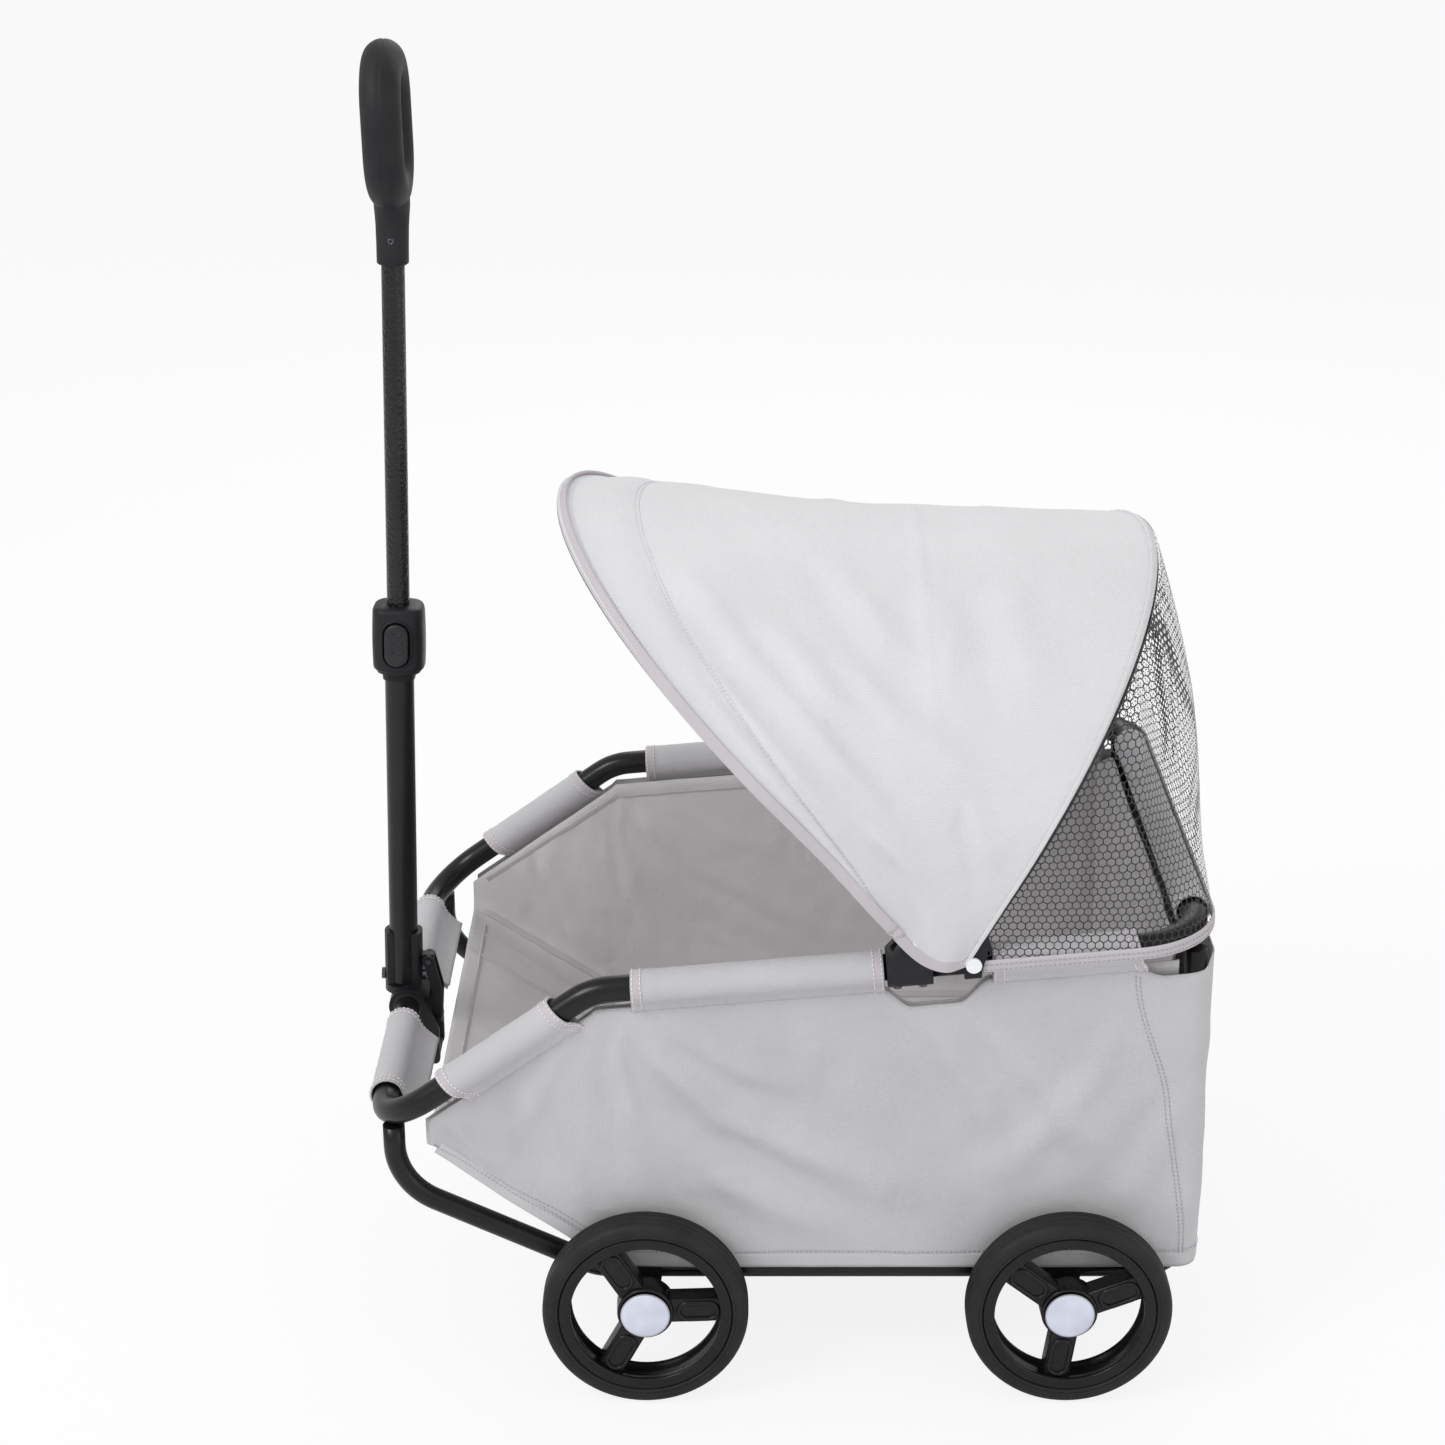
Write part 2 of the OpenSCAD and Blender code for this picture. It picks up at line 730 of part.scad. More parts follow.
// Bracket fixed to the front bar beside the saddle, with a leg that stops the pole upright.
module pole_bracket() {
  color("#242426")
    difference() {
      for (side = SIDES)
        translate([0, side * (saddle_w / 2 + part_gap + bracket_t / 2), 0])
          rotate([90, 0, 0])
            linear_extrude(bracket_t, center = true)
              hull() {
                translate([front_bar_x, front_bar_z]) circle(r = saddle_r);
                translate([front_bar_x + 16, front_bar_z - 22]) circle(r = 8);
                translate([front_bar_x + 20, front_bar_z - 46]) circle(r = 4);
              }
      translate(front_bar) rotate([90, 0, 0]) cylinder(h = 80, r = bush_out_r, center = true);
    }
  color("#242426")
    translate([front_bar_x + 20, 0, front_bar_z - 46])
      rotate([90, 0, 0])
        cylinder(h = saddle_w + 2 * part_gap + 2, r = 3.4, center = true);
}

// ---- Canopy ----

hinge = [clamp_x, 0, hinge_z];
clip = [clip_x, 0, clip_z + 14];

// Clamp on the rim rail, with a fork above it for the front hoop's leg.
module canopy_clamp(side) {
  color("#1f1f21")
    difference() {
      hull() {
        translate([clamp_x, side * rail_y, rail_height(clamp_x)])
          rotate([0, 90 - rail_rise, 0])
            cylinder(h = clamp_len, r = rim_r + clamp_t, center = true);
        translate([clamp_x, side * hoop_half_w, hinge_z - 2])
          rotate([90, 0, 0])
            cylinder(h = lug_w, r = 8, center = true);
      }
      rod(rail_point(clamp_x - 40, side), rail_point(clamp_x + 40, side), rim_r);
      translate([clamp_x - 40, side * hoop_half_w - hoop_r - 2 * part_gap, hinge_z - 7])
        cube([80, hoop_d + 4 * part_gap, 40]);
      translate([clamp_x, side * hoop_half_w, hinge_z])
        rotate([90, 0, 0])
          cylinder(h = 60, r = hinge_pin_r, center = true);
    }
}
module canopy_clamp_left() canopy_clamp(1);
module canopy_clamp_right() canopy_clamp(-1);

module clamp_screws() {
  color("#6a6a6e")
    for (side = SIDES, dx = [-9, 9])
      translate([clamp_x + dx, side * rail_y, rail_height(clamp_x + dx)])
        rotate([0, -rail_rise, 0])
          translate([0, 0, -rim_r - clamp_t - 2.1]) cylinder(h = 2, r = 3);
}

function hoop_points(leg) = [
  [0, -hoop_half_w, 0], [0, -hoop_half_w, leg + hoop_half_w],
  [0, hoop_half_w, leg + hoop_half_w], [0, hoop_half_w, 0]
];

// A hoop: two straight legs and a half circle, tilted about the line between its feet.
module hoop(foot, leg, tilt) {
  translate(foot)
    rotate([0, tilt, 0]) {
      for (side = SIDES)
        translate([0, side * hoop_half_w, 0]) cylinder(h = leg, r = hoop_r);
      translate([0, 0, leg])
        rotate([90, 0, 90])
          rotate_extrude(angle = 180, $fn = 96) translate([hoop_half_w, 0]) circle(r = hoop_r);
    }
}

module front_hoop() {
  color("#2a2a2c")
    difference() {
      union() {
        hoop(hinge, front_leg, -front_hoop_tilt);
        for (side = SIDES)
          translate([clamp_x, side * hoop_half_w, hinge_z])
            rotate([90, 0, 0])
              cylinder(h = hoop_d + 0.4, r = 5.5, center = true);
      }
      translate(hinge) rotate([90, 0, 0]) cylinder(h = 600, r = hinge_pin_r + fit_gap, center = true);
    }
}

module hoop_hinge_pins() {
  color("#9a9a9e")
    for (side = SIDES)
      translate([clamp_x, side * hoop_half_w, hinge_z])
        rotate([90, 0, 0])
          cylinder(h = lug_w, r = hinge_pin_r, center = true);
}

module rear_hoop() {
  color("#2a2a2c") hoop(clip, rear_leg, rear_hoop_tilt);
}

// Clips on the rails that hold the rear hoop's feet.
module rear_hoop_clips() {
  color("#242426")
    for (side = SIDES)
      difference() {
        union() {
          rod(rail_point(clip_x - clip_len / 2, side), rail_point(clip_x + clip_len / 2, side), rim_r + clip_t);
          hull() {
            translate([clip_x, side * hoop_half_w, clip_z])
              rotate([90, 0, 0]) cylinder(h = 12, r = 6, center = true);
            translate([clip_x + 4, side * hoop_half_w, clip_z + 20])
              rotate([90, 0, 0]) cylinder(h = 12, r = 7, center = true);
          }
        }
        rod(rail_point(clip_x - 40, side), rail_point(clip_x + 40, side), rim_r);
        translate([clip_x, side * hoop_half_w, clip[2]])
          rotate([0, rear_hoop_tilt, 0]) cylinder(h = 60, r = hoop_r);
      }
}

// Round pale buttons on the outer faces of the rear hoop's clips.
module clip_buttons() {
  color("#eceef2")
    for (side = SIDES)
      translate([clip_x, side * (hoop_half_w + 6 + 0.1), clip_z + 4])
        rotate([-side * 90, 0, 0]) cylinder(h = 2, r = 5.6);
}

// Pearl snap heads on the outer ends of the front hoop's hinge pins.
module canopy_snaps() {
  color("#f0eff2")
    for (side = SIDES)
      translate([clamp_x, side * (hoop_half_w + lug_w / 2 + 0.1), hinge_z])
        rotate([-side * 90, 0, 0])
          difference() {
            translate([0, 0, -5]) sphere(r = 7);
            translate([0, 0, -20]) cube([40, 40, 40], center = true);
          }
}

// In-plane point of an arch at share t of its length, from the right foot to the left one.
function arch_point(t, leg, r) =
  let (total = 2 * leg + PI * r, s = t * total)
  s < leg ? [-r, s] :
  s > total - leg ? [r, total - s] :
  let (a = (s - leg) / r * 180 / PI) [-r * cos(a), leg + r * sin(a)];
function tilted(p, foot, tilt) =
  [foot[0] + p[1] * sin(tilt), p[0], foot[2] + p[1] * cos(tilt)];

// Room that the cloth leaves outside a hoop; it grows towards the crown of a leaning hoop.
function stand_off(t, tilt) = (hoop_r + soft_gap + cloth_t / 2) / cos(tilt * sin(180 * t));
function cloth_over(t, foot, leg, tilt, extra) =
  let (p = arch_point(t, leg, hoop_half_w), out = stand_off(t, tilt) + extra)
  let (up = p[1] > leg ? unit([p[0], p[1] - leg]) : [sign(p[0]), 0])
  tilted(p + up * out, foot, tilt);

// A closed sheet between two grids of points with the same rows and columns.
module thick_sheet(outer, inner) {
  rows = len(outer);
  cols = len(outer[0]);
  n = rows * cols;
  points = concat([for (row = outer, p = row) p], [for (row = inner, p = row) p]);
  function id(i, j, layer) = layer * n + i * cols + j;
  faces = concat(
    [for (i = [0:rows - 2], j = [0:cols - 2])
      each [[id(i, j, 0), id(i + 1, j, 0), id(i + 1, j + 1, 0)],
            [id(i, j, 0), id(i + 1, j + 1, 0), id(i, j + 1, 0)]]],
    [for (i = [0:rows - 2], j = [0:cols - 2])
      each [[id(i, j, 1), id(i + 1, j + 1, 1), id(i + 1, j, 1)],
            [id(i, j, 1), id(i, j + 1, 1), id(i + 1, j + 1, 1)]]],
    [for (i = [0:rows - 2])
      each [[id(i, 0, 0), id(i, 0, 1), id(i + 1, 0, 1)], [id(i, 0, 0), id(i + 1, 0, 1), id(i + 1, 0, 0)],
            [id(i, cols - 1, 0), id(i + 1, cols - 1, 1), id(i, cols - 1, 1)],
            [id(i, cols - 1, 0), id(i + 1, cols - 1, 0), id(i + 1, cols - 1, 1)]]],
    [for (j = [0:cols - 2])
      each [[id(0, j, 0), id(0, j + 1, 1), id(0, j, 1)], [id(0, j, 0), id(0, j + 1, 0), id(0, j + 1, 1)],
            [id(rows - 1, j, 0), id(rows - 1, j, 1), id(rows - 1, j + 1, 1)],
            [id(rows - 1, j, 0), id(rows - 1, j + 1, 1), id(rows - 1, j + 1, 0)]]]
  );
  polyhedron(points, faces, convexity = 8);
}

cloth_cols = 36;
cloth_rows = 6;
cloth_start = 0.045;
mesh_bulge = 15;
function cloth_t_at(j) = cloth_start + (1 - 2 * cloth_start) * j / cloth_cols;
function cloth_grid(extra) =
  [for (i = [0:cloth_rows])
    [for (j = [0:cloth_cols])
      let (t = cloth_t_at(j), u = i / cloth_rows)
      (1 - u) * cloth_over(t, hinge, front_leg, -front_hoop_tilt, extra) +
      u * cloth_over(t, clip, rear_leg, rear_hoop_tilt, extra)]];

// Canopy cloth stretched from the front hoop to the rear hoop.
module canopy_cloth() {
  color("#e2e4e6") thick_sheet(cloth_grid(cloth_t / 2), cloth_grid(-cloth_t / 2));
}

// Outer edge of the rim behind the clips, at share t of its length.
mesh_out = rim_r + soft_gap + fabric_t + 1.5;
function rim_edge(t, out) =
  let (
    run = rear_bar_x - rim_corner_r - clip_x - 14,
    arc = PI / 2 * (rim_corner_r + out),
    span = 2 * (rail_y - rim_corner_r),
    s = t * (2 * run + 2 * arc + span),
    turned = (s - run) / (rim_corner_r + out) * 180 / PI,
    back = (s - run - arc - span) / (rim_corner_r + out) * 180 / PI
  )
  s < run ? [clip_x + 14 + s, -rail_y - out] :
  s < run + arc ?
    [rear_bar_x - rim_corner_r + (rim_corner_r + out) * sin(turned),
     -rail_y + rim_corner_r - (rim_corner_r + out) * cos(turned)] :
  s < run + arc + span ? [rear_bar_x + out, -rail_y + rim_corner_r + s - run - arc] :
  s < run + 2 * arc + span ?
    [rear_bar_x - rim_corner_r + (rim_corner_r + out) * cos(back),
     rail_y - rim_corner_r + (rim_corner_r + out) * sin(back)] :
  [clip_x + 14 + (2 * run + 2 * arc + span - s), rail_y + out];
function mesh_grid(extra) =
  [for (i = [0:cloth_rows])
    [for (j = [0:cloth_cols])
      let (
        t = cloth_t_at(j),
        u = i / cloth_rows,
        top = cloth_over(t, clip, rear_leg, rear_hoop_tilt, extra) + [2.7, 0, 0],
        edge = rim_edge(t, mesh_out + extra),
        foot = [edge[0], edge[1], rail_height(edge[0]) + 3],
        bulge = mesh_bulge * sin(180 * u) * sin(180 * t)
      )
      (1 - u) * top + u * foot + [bulge, 0, 0]]];
// Rear net panel, from the rear hoop down to the outside of the rim.
module rear_mesh() {
  color("#303034") thick_sheet(mesh_grid(cloth_t / 2), mesh_grid(-cloth_t / 2));
}

rim_front_tube();
rim_rear_tube();
rim_joiners();
side_frame_left();
side_frame_right();
cross_tube_front();
cross_tube_rear();
axle_front();
axle_rear();
axle_block_front_left();
axle_block_front_right();
axle_block_rear_left();
axle_block_rear_right();
floor_board();
tub_side_left();
tub_side_right();
tub_front();
tub_rear();
tub_floor();
hinge_bush();
pole_bracket();
canopy_clamp_left();
canopy_clamp_right();
clamp_screws();
rear_hoop();
rear_hoop_clips();
clip_buttons();
rear_mesh();
canopy_snaps();
pole_yoke();
yoke_bolt();
lower_pole();
lock_collar();
latch_lever();
latch_pin();
upper_pole();
handle_grip();
grip_screw();
lock_button();
lock_spring();
front_hoop();
hoop_hinge_pins();
canopy_cloth();
tyre_front_left();
wheel_front_left();
bush_front_left();
cap_front_left();
tyre_front_right();
wheel_front_right();
bush_front_right();
cap_front_right();
tyre_rear_left();
wheel_rear_left();
bush_rear_left();
cap_rear_left();
tyre_rear_right();
wheel_rear_right();
bush_rear_right();
cap_rear_right();
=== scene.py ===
# Children's pull wagon: the looks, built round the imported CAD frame.
import json
import math

import bmesh
import bpy
from mathutils import Matrix, Vector, noise


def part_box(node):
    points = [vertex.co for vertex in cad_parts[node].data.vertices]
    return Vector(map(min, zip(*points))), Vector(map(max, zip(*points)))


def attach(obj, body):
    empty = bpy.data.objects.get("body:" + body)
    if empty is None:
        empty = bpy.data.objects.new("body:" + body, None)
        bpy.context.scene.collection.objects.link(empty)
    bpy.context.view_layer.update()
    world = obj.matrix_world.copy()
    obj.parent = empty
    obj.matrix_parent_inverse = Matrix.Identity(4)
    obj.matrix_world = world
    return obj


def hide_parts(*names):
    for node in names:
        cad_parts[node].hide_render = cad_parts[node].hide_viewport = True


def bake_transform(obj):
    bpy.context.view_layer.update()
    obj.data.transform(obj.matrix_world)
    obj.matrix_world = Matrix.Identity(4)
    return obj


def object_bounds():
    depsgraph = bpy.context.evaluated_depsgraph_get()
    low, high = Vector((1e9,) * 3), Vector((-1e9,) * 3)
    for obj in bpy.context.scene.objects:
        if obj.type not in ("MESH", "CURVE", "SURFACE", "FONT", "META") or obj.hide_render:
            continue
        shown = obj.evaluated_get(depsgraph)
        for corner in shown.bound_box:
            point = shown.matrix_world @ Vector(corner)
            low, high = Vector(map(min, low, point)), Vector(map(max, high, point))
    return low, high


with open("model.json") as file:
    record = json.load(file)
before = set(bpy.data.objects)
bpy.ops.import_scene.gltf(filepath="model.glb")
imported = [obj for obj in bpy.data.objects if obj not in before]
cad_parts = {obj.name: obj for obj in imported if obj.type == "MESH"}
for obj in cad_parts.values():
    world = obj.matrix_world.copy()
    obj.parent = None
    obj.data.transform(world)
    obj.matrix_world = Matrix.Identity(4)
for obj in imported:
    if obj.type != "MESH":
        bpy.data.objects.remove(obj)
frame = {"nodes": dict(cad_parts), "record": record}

cad_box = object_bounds()
MM = 0.001


# ---------------------------------------------------------------- camera, floor and light
# The stage: a camera a little above the handle looking down at the wagon's right side,
# a white floor that keeps the shadow, and large soft lamps at a plain level.
def placed(name, data):
    """An object that holds a mesh, a camera or a lamp, linked into the scene."""
    thing = bpy.data.objects.new(name, data)
    bpy.context.collection.objects.link(thing)
    return thing


def new_node(tree, kind, values={}):
    """A node of that kind with its named inputs set."""
    node = tree.nodes.new(kind)
    for label, value in values.items():
        node.inputs[label].default_value = value
    return node


def wire(tree, *joins):
    """Links, each given as (node, its output, node, its input)."""
    for source, output, target, socket in joins:
        tree.links.new(source.outputs[output], target.inputs[socket])


def add_camera():
    centre_x = (cad_box[0].x + cad_box[1].x) / 2
    camera = bpy.data.cameras.new("camera")
    camera.sensor_width = 36
    camera.lens = 36 * 2800 / 1445
    camera.clip_end = 50
    holder = placed("camera", camera)
    holder.location = (centre_x - 0.043, -1.990, 1.204)
    holder.rotation_euler = (math.radians(90 - 21), 0, 0)
    bpy.context.scene.camera = holder


def add_lamp(name, place, target, size, watts):
    lamp = bpy.data.lights.new(name, "AREA")
    lamp.size = size
    lamp.energy = watts
    holder = placed(name, lamp)
    holder.location = place
    holder.rotation_euler = (Vector(target) - Vector(place)).to_track_quat("-Z", "Y").to_euler()


def white_to_camera(tree, lit, share):
    """Mixes a lit shader with plain white where the camera looks straight at it."""
    path = new_node(tree, "ShaderNodeLightPath")
    part = new_node(tree, "ShaderNodeMath", {1: share})
    part.operation = "MULTIPLY"
    mix = new_node(tree, "ShaderNodeMixShader")
    wire(tree, (path, "Is Camera Ray", part, 0), (part, 0, mix, 0), (lit, 0, mix, 1))
    return mix


def add_stage():
    mesh = bpy.data.meshes.new("floor")
    reach = 12
    corners = [(-reach, -reach, 0), (reach, -reach, 0), (reach, reach, 0), (-reach, reach, 0)]
    mesh.from_pydata(corners, [], [(0, 1, 2, 3)])
    floor = placed("floor", mesh)
    floor.location.z = -0.0004
    material = bpy.data.materials.new("floor_white")
    material.use_nodes = True
    tree = material.node_tree
    lit = tree.nodes["Principled BSDF"]
    lit.inputs["Base Color"].default_value = (0.86, 0.86, 0.87, 1)
    lit.inputs["Roughness"].default_value = 0.9
    white = new_node(tree, "ShaderNodeEmission", {"Strength": 1})
    mix = white_to_camera(tree, lit, 0.86)
    wire(tree, (white, 0, mix, 2), (mix, 0, tree.nodes["Material Output"], "Surface"))
    mesh.materials.append(material)

    world = bpy.data.worlds.new("studio")
    world.use_nodes = True
    bpy.context.scene.world = world
    tree = world.node_tree
    around = tree.nodes["Background"]
    around.inputs["Color"].default_value = (1, 1, 1, 1)
    around.inputs["Strength"].default_value = 0.72
    backdrop = new_node(tree, "ShaderNodeBackground", {"Color": (1, 1, 1, 1)})
    mix = white_to_camera(tree, around, 1)
    wire(tree, (backdrop, 0, mix, 2), (mix, 0, tree.nodes["World Output"], "Surface"))


add_camera()
add_stage()
add_lamp("key", (-2.0, -1.7, 2.6), (0, 0, 0.3), 1.2, 46)
add_lamp("fill", (2.4, -1.9, 1.2), (0, 0, 0.3), 2.2, 12)
add_lamp("back", (0.4, 2.4, 2.0), (0, 0, 0.4), 1.8, 16)
bpy.context.scene.view_settings.view_transform = "Standard"


# ---------------------------------------------------------------- bent tube frame
# Powder-coated steel tube: the rim in two halves, two side frames and two cross tubes.
# Bent cold, so every corner is an even arc; the coat is satin black with a fine orange peel.
def shader_group(name, inputs, outputs):
    """An empty shader group with number sockets, and its input and output nodes."""
    group = bpy.data.node_groups.new(name, "ShaderNodeTree")
    for direction, labels in (("INPUT", inputs), ("OUTPUT", outputs)):
        for label in labels:
            group.interface.new_socket(label, in_out=direction, socket_type="NodeSocketFloat")
    return group, group.nodes.new("NodeGroupInput"), group.nodes.new("NodeGroupOutput")


def grain_group():
    """Small bumps and a slow change of gloss, as on paint and moulded plastic."""
    group, into, out = shader_group(
        "fine_grain", ("Grain per metre", "Roughness low", "Roughness high"), ("Roughness", "Height"))
    place = new_node(group, "ShaderNodeTexCoord")
    fine = new_node(group, "ShaderNodeTexNoise", {"Detail": 3})
    slow = new_node(group, "ShaderNodeTexNoise", {"Scale": 28, "Detail": 5})
    spread = new_node(group, "ShaderNodeMapRange", {"From Min": 0.3, "From Max": 0.7})
    wire(group, (place, "Object", fine, "Vector"), (place, "Object", slow, "Vector"),
         (into, "Grain per metre", fine, "Scale"), (slow, "Fac", spread, "Value"),
         (into, "Roughness low", spread, "To Min"), (into, "Roughness high", spread, "To Max"),
         (spread, "Result", out, "Roughness"), (fine, "Fac", out, "Height"))
    return group


FINE_GRAIN = grain_group()


def new_finish(name, values):
    """A material, its node tree and its shader with the named inputs set."""
    material = bpy.data.materials.new(name)
    material.use_nodes = True
    shader = material.node_tree.nodes["Principled BSDF"]
    for label, value in values.items():
        shader.inputs[label].default_value = value
    return material, material.node_tree, shader


def two_tone(tree, low, high, first, second):
    """A colour ramp from one colour to another between two positions."""
    ramp = tree.nodes.new("ShaderNodeValToRGB")
    for element, position, color in zip(ramp.color_ramp.elements, (low, high), (first, second)):
        element.position = position
        element.color = (*color, 1)
    return ramp


def hard_finish(name, color, grain, rough, bump, metallic=0.0, coat=0.0, worn=None, shine=0.5):
    """Paint, metal or moulded plastic. worn is the colour of rubbed patches."""
    material, tree, shader = new_finish(name, {
        "Metallic": metallic, "Coat Weight": coat, "Coat Roughness": 0.12, "Specular IOR Level": shine})
    surface = tree.nodes.new("ShaderNodeGroup")
    surface.node_tree = FINE_GRAIN
    for label, value in (("Grain per metre", grain), ("Roughness low", rough[0]), ("Roughness high", rough[1])):
        surface.inputs[label].default_value = value
    relief = new_node(tree, "ShaderNodeBump", {"Strength": bump, "Distance": 0.0006})
    place = new_node(tree, "ShaderNodeTexCoord")
    cloud = new_node(tree, "ShaderNodeTexNoise", {"Scale": 40, "Detail": 6})
    ramp = two_tone(tree, 0.35, 0.75, color, worn or [c * 1.25 + 0.002 for c in color])
    wire(tree, (surface, "Height", relief, "Height"), (relief, "Normal", shader, "Normal"),
         (surface, "Roughness", shader, "Roughness"), (place, "Object", cloud, "Vector"),
         (cloud, "Fac", ramp, "Fac"), (ramp, "Color", shader, "Base Color"))
    return material


def ring_faces(rows, sides, looped=False, capped=True):
    """Faces over rows of points that each run once round; a looped run joins its last row to its
    first, an open one is capped at both ends."""
    faces = []
    for i in range(rows if looped else rows - 1):
        j = (i + 1) % rows
        for k in range(sides):
            n = (k + 1) % sides
            faces.append((i * sides + k, i * sides + n, j * sides + n, j * sides + k))
    if capped and not looped:
        faces += [tuple(range(sides)), tuple(range((rows - 1) * sides, rows * sides))]
    return faces


def add_mesh(name, points, faces, material, smooth=True, close=True):
    """A mesh object at the origin, with its place in its points and its faces turned outwards."""
    mesh = bpy.data.meshes.new(name)
    mesh.from_pydata([tuple(p) for p in points], [], faces)
    shape = bmesh.new()
    shape.from_mesh(mesh)
    bmesh.ops.remove_doubles(shape, verts=shape.verts, dist=1e-6)
    if close:
        bmesh.ops.recalc_face_normals(shape, faces=shape.faces)
    for face in shape.faces:
        face.smooth = smooth
    shape.to_mesh(mesh)
    shape.free()
    mesh.materials.append(material)
    return placed(name, mesh)


def rounded_route(corners, bends, step=4 * MM):
    """Points along a route whose inner corners are rounded by the bend radii."""
    corners = [Vector(c) for c in corners]
    ways = [(b - a).normalized() for a, b in zip(corners, corners[1:])]
    route = [corners[0]]
    for i in range(1, len(corners) - 1):
        a, b, radius = ways[i - 1], ways[i], bends[i - 1]
        angle = a.angle(b)
        inward = (b - b.dot(a) * a).normalized()
        centre = corners[i] - a * radius * math.tan(angle / 2) + inward * radius
        steps = max(2, round(angle * radius / step))
        for k in range(steps + 1):
            turn = angle * k / steps
            route.append(centre + radius * (a * math.sin(turn) - inward * math.cos(turn)))
    route.append(corners[-1])
    return route


def ring_frames(route):
    """Two directions across the route at each point, carried along without twisting."""
    ways = []
    for i in range(len(route)):
        ways.append((route[min(i + 1, len(route) - 1)] - route[max(i - 1, 0)]).normalized())
    side = ways[0].orthogonal().normalized()
    frames = []
    for way in ways:
        side = (side - side.dot(way) * way).normalized()
        frames.append((side, way.cross(side)))
    return frames


def flat_ended(thing):
    """The same object with its two end faces shaded flat."""
    for face in thing.data.polygons:
        face.use_smooth = len(face.vertices) == 4
    return thing


def swept(name, route, radius, material, sides=24):
    """A round tube or rod swept along a route, with a flat face at both ends."""
    points = []
    for spot, (side, over) in zip(route, ring_frames(route)):
        for k in range(sides):
            turn = 2 * math.pi * k / sides
            points.append(spot + radius * (side * math.cos(turn) + over * math.sin(turn)))
    return flat_ended(add_mesh(name, points, ring_faces(len(route), sides), material))


RIM_R = 9.5 * MM
front_low, front_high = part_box("rim_front_tube")
FRONT_BAR = Vector((front_low.x + RIM_R, 0, front_low.z + RIM_R))
REAR_BAR_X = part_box("rim_rear_tube")[1].x - RIM_R
RAIL_Y = front_high.y - RIM_R
RAIL_SLOPE = math.tan(math.radians(5.1))
BEND_X = -136 * MM
BEND_Z = 320 * MM
CLAMP_X = (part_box("canopy_clamp_left")[0].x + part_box("canopy_clamp_left")[1].x) / 2
CLIP_X = (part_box("clip_buttons")[0].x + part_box("clip_buttons")[1].x) / 2
CORNER_R = 46 * MM


def rail(x, side):
    """A point on the centre line of a rim rail."""
    return Vector((x, side * RAIL_Y, BEND_Z + RAIL_SLOPE * (x - BEND_X)))


def nose_corner(side):
    return Vector((FRONT_BAR.x, side * RAIL_Y, FRONT_BAR.z))


coat_black = hard_finish("frame_coat", (0.006, 0.006, 0.007), 1400, (0.24, 0.36), 0.12, coat=0.1, shine=0.28)
FRONT_ROUTE = rounded_route(
    [rail(CLAMP_X, -1), rail(BEND_X, -1), nose_corner(-1), nose_corner(1), rail(BEND_X, 1), rail(CLAMP_X, 1)],
    [50 * MM, CORNER_R, CORNER_R, 50 * MM])
REAR_ROUTE = rounded_route(
    [rail(CLAMP_X, -1), rail(REAR_BAR_X, -1), rail(REAR_BAR_X, 1), rail(CLAMP_X, 1)],
    [CORNER_R, CORNER_R])
for name, route in (("rim_front", FRONT_ROUTE), ("rim_rear", REAR_ROUTE)):
    tube = swept(name, route, RIM_R, coat_black, 28)
    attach(tube, "chassis")
    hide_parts(name + "_tube")

SIDE_R = 8 * MM
for name, sign in (("left", 1), ("right", -1)):
    low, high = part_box("side_frame_" + name)
    y = (low.y + high.y) / 2
    run_z = low.z + SIDE_R
    front_x = low.x + SIDE_R
    axle_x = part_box("axle_front")[0].x + 4 * MM
    route = rounded_route(
        [(front_x, y, 206 * MM), (front_x, y, 158 * MM), (axle_x - 36 * MM, y, run_z),
         (high.x - SIDE_R, y, run_z), (high.x - SIDE_R - 4 * MM, y, high.z)],
        [50 * MM, 40 * MM, 30 * MM])
    tube = swept("side_frame_" + name + "_tube", route, SIDE_R, coat_black, 24)
    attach(tube, "chassis")
    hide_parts("side_frame_" + name)


# ---------------------------------------------------------------- small hard parts of the CAD
# Moulded brackets, clamps and levers in textured black plastic, zinc-plated rods and screws:
# their true shapes come from the frame and take only their finish here.
mould_black = hard_finish("moulded_black", (0.009, 0.009, 0.011), 2200, (0.38, 0.52), 0.3, shine=0.28)
zinc = hard_finish("zinc_plate", (0.1, 0.1, 0.11), 900, (0.25, 0.4), 0.06, metallic=1.0)
board = hard_finish("fibre_board", (0.04, 0.04, 0.045), 700, (0.6, 0.8), 0.3)
nylon = hard_finish("nylon", (0.02, 0.02, 0.022), 900, (0.4, 0.5), 0.05)
rod_black = hard_finish("fibre_rod", (0.02, 0.02, 0.022), 600, (0.35, 0.5), 0.1)
FINISH_OF_SLOT = {
    "frame_black": coat_black, "zinc_steel": zinc, "black_plastic": mould_black,
    "board_dark": board, "bush_nylon": nylon, "hoop_rod": rod_black,
}
slot_of_node = {s["node"]: s["material_slot"] for s in frame["record"]["subparts"]}
for node, thing in frame["nodes"].items():
    finish = FINISH_OF_SLOT.get(slot_of_node.get(node))
    if finish:
        for place in thing.material_slots:
            place.material = finish


# ---------------------------------------------------------------- wheels
# A matte tyre pressed round a one-piece moulded wheel: deep barrel, three box spokes with a
# raised racetrack rib on each, and a pale domed cap snapped into the hub.
def spun(name, profile, material, steps=96, close=True):
    """A profile of (radius, out) turned round the axle; its out direction becomes +Y."""
    points, faces = [], []
    for k in range(steps):
        turn = 2 * math.pi * k / steps
        points += [Vector((r * math.cos(turn), w, r * math.sin(turn))) for r, w in profile]
    n = len(profile)
    for k in range(steps):
        m = (k + 1) % steps
        for i in range(n if close else n - 1):
            j = (i + 1) % n
            faces.append((k * n + i, k * n + j, m * n + j, m * n + i))
    return add_mesh(name, points, faces, material)


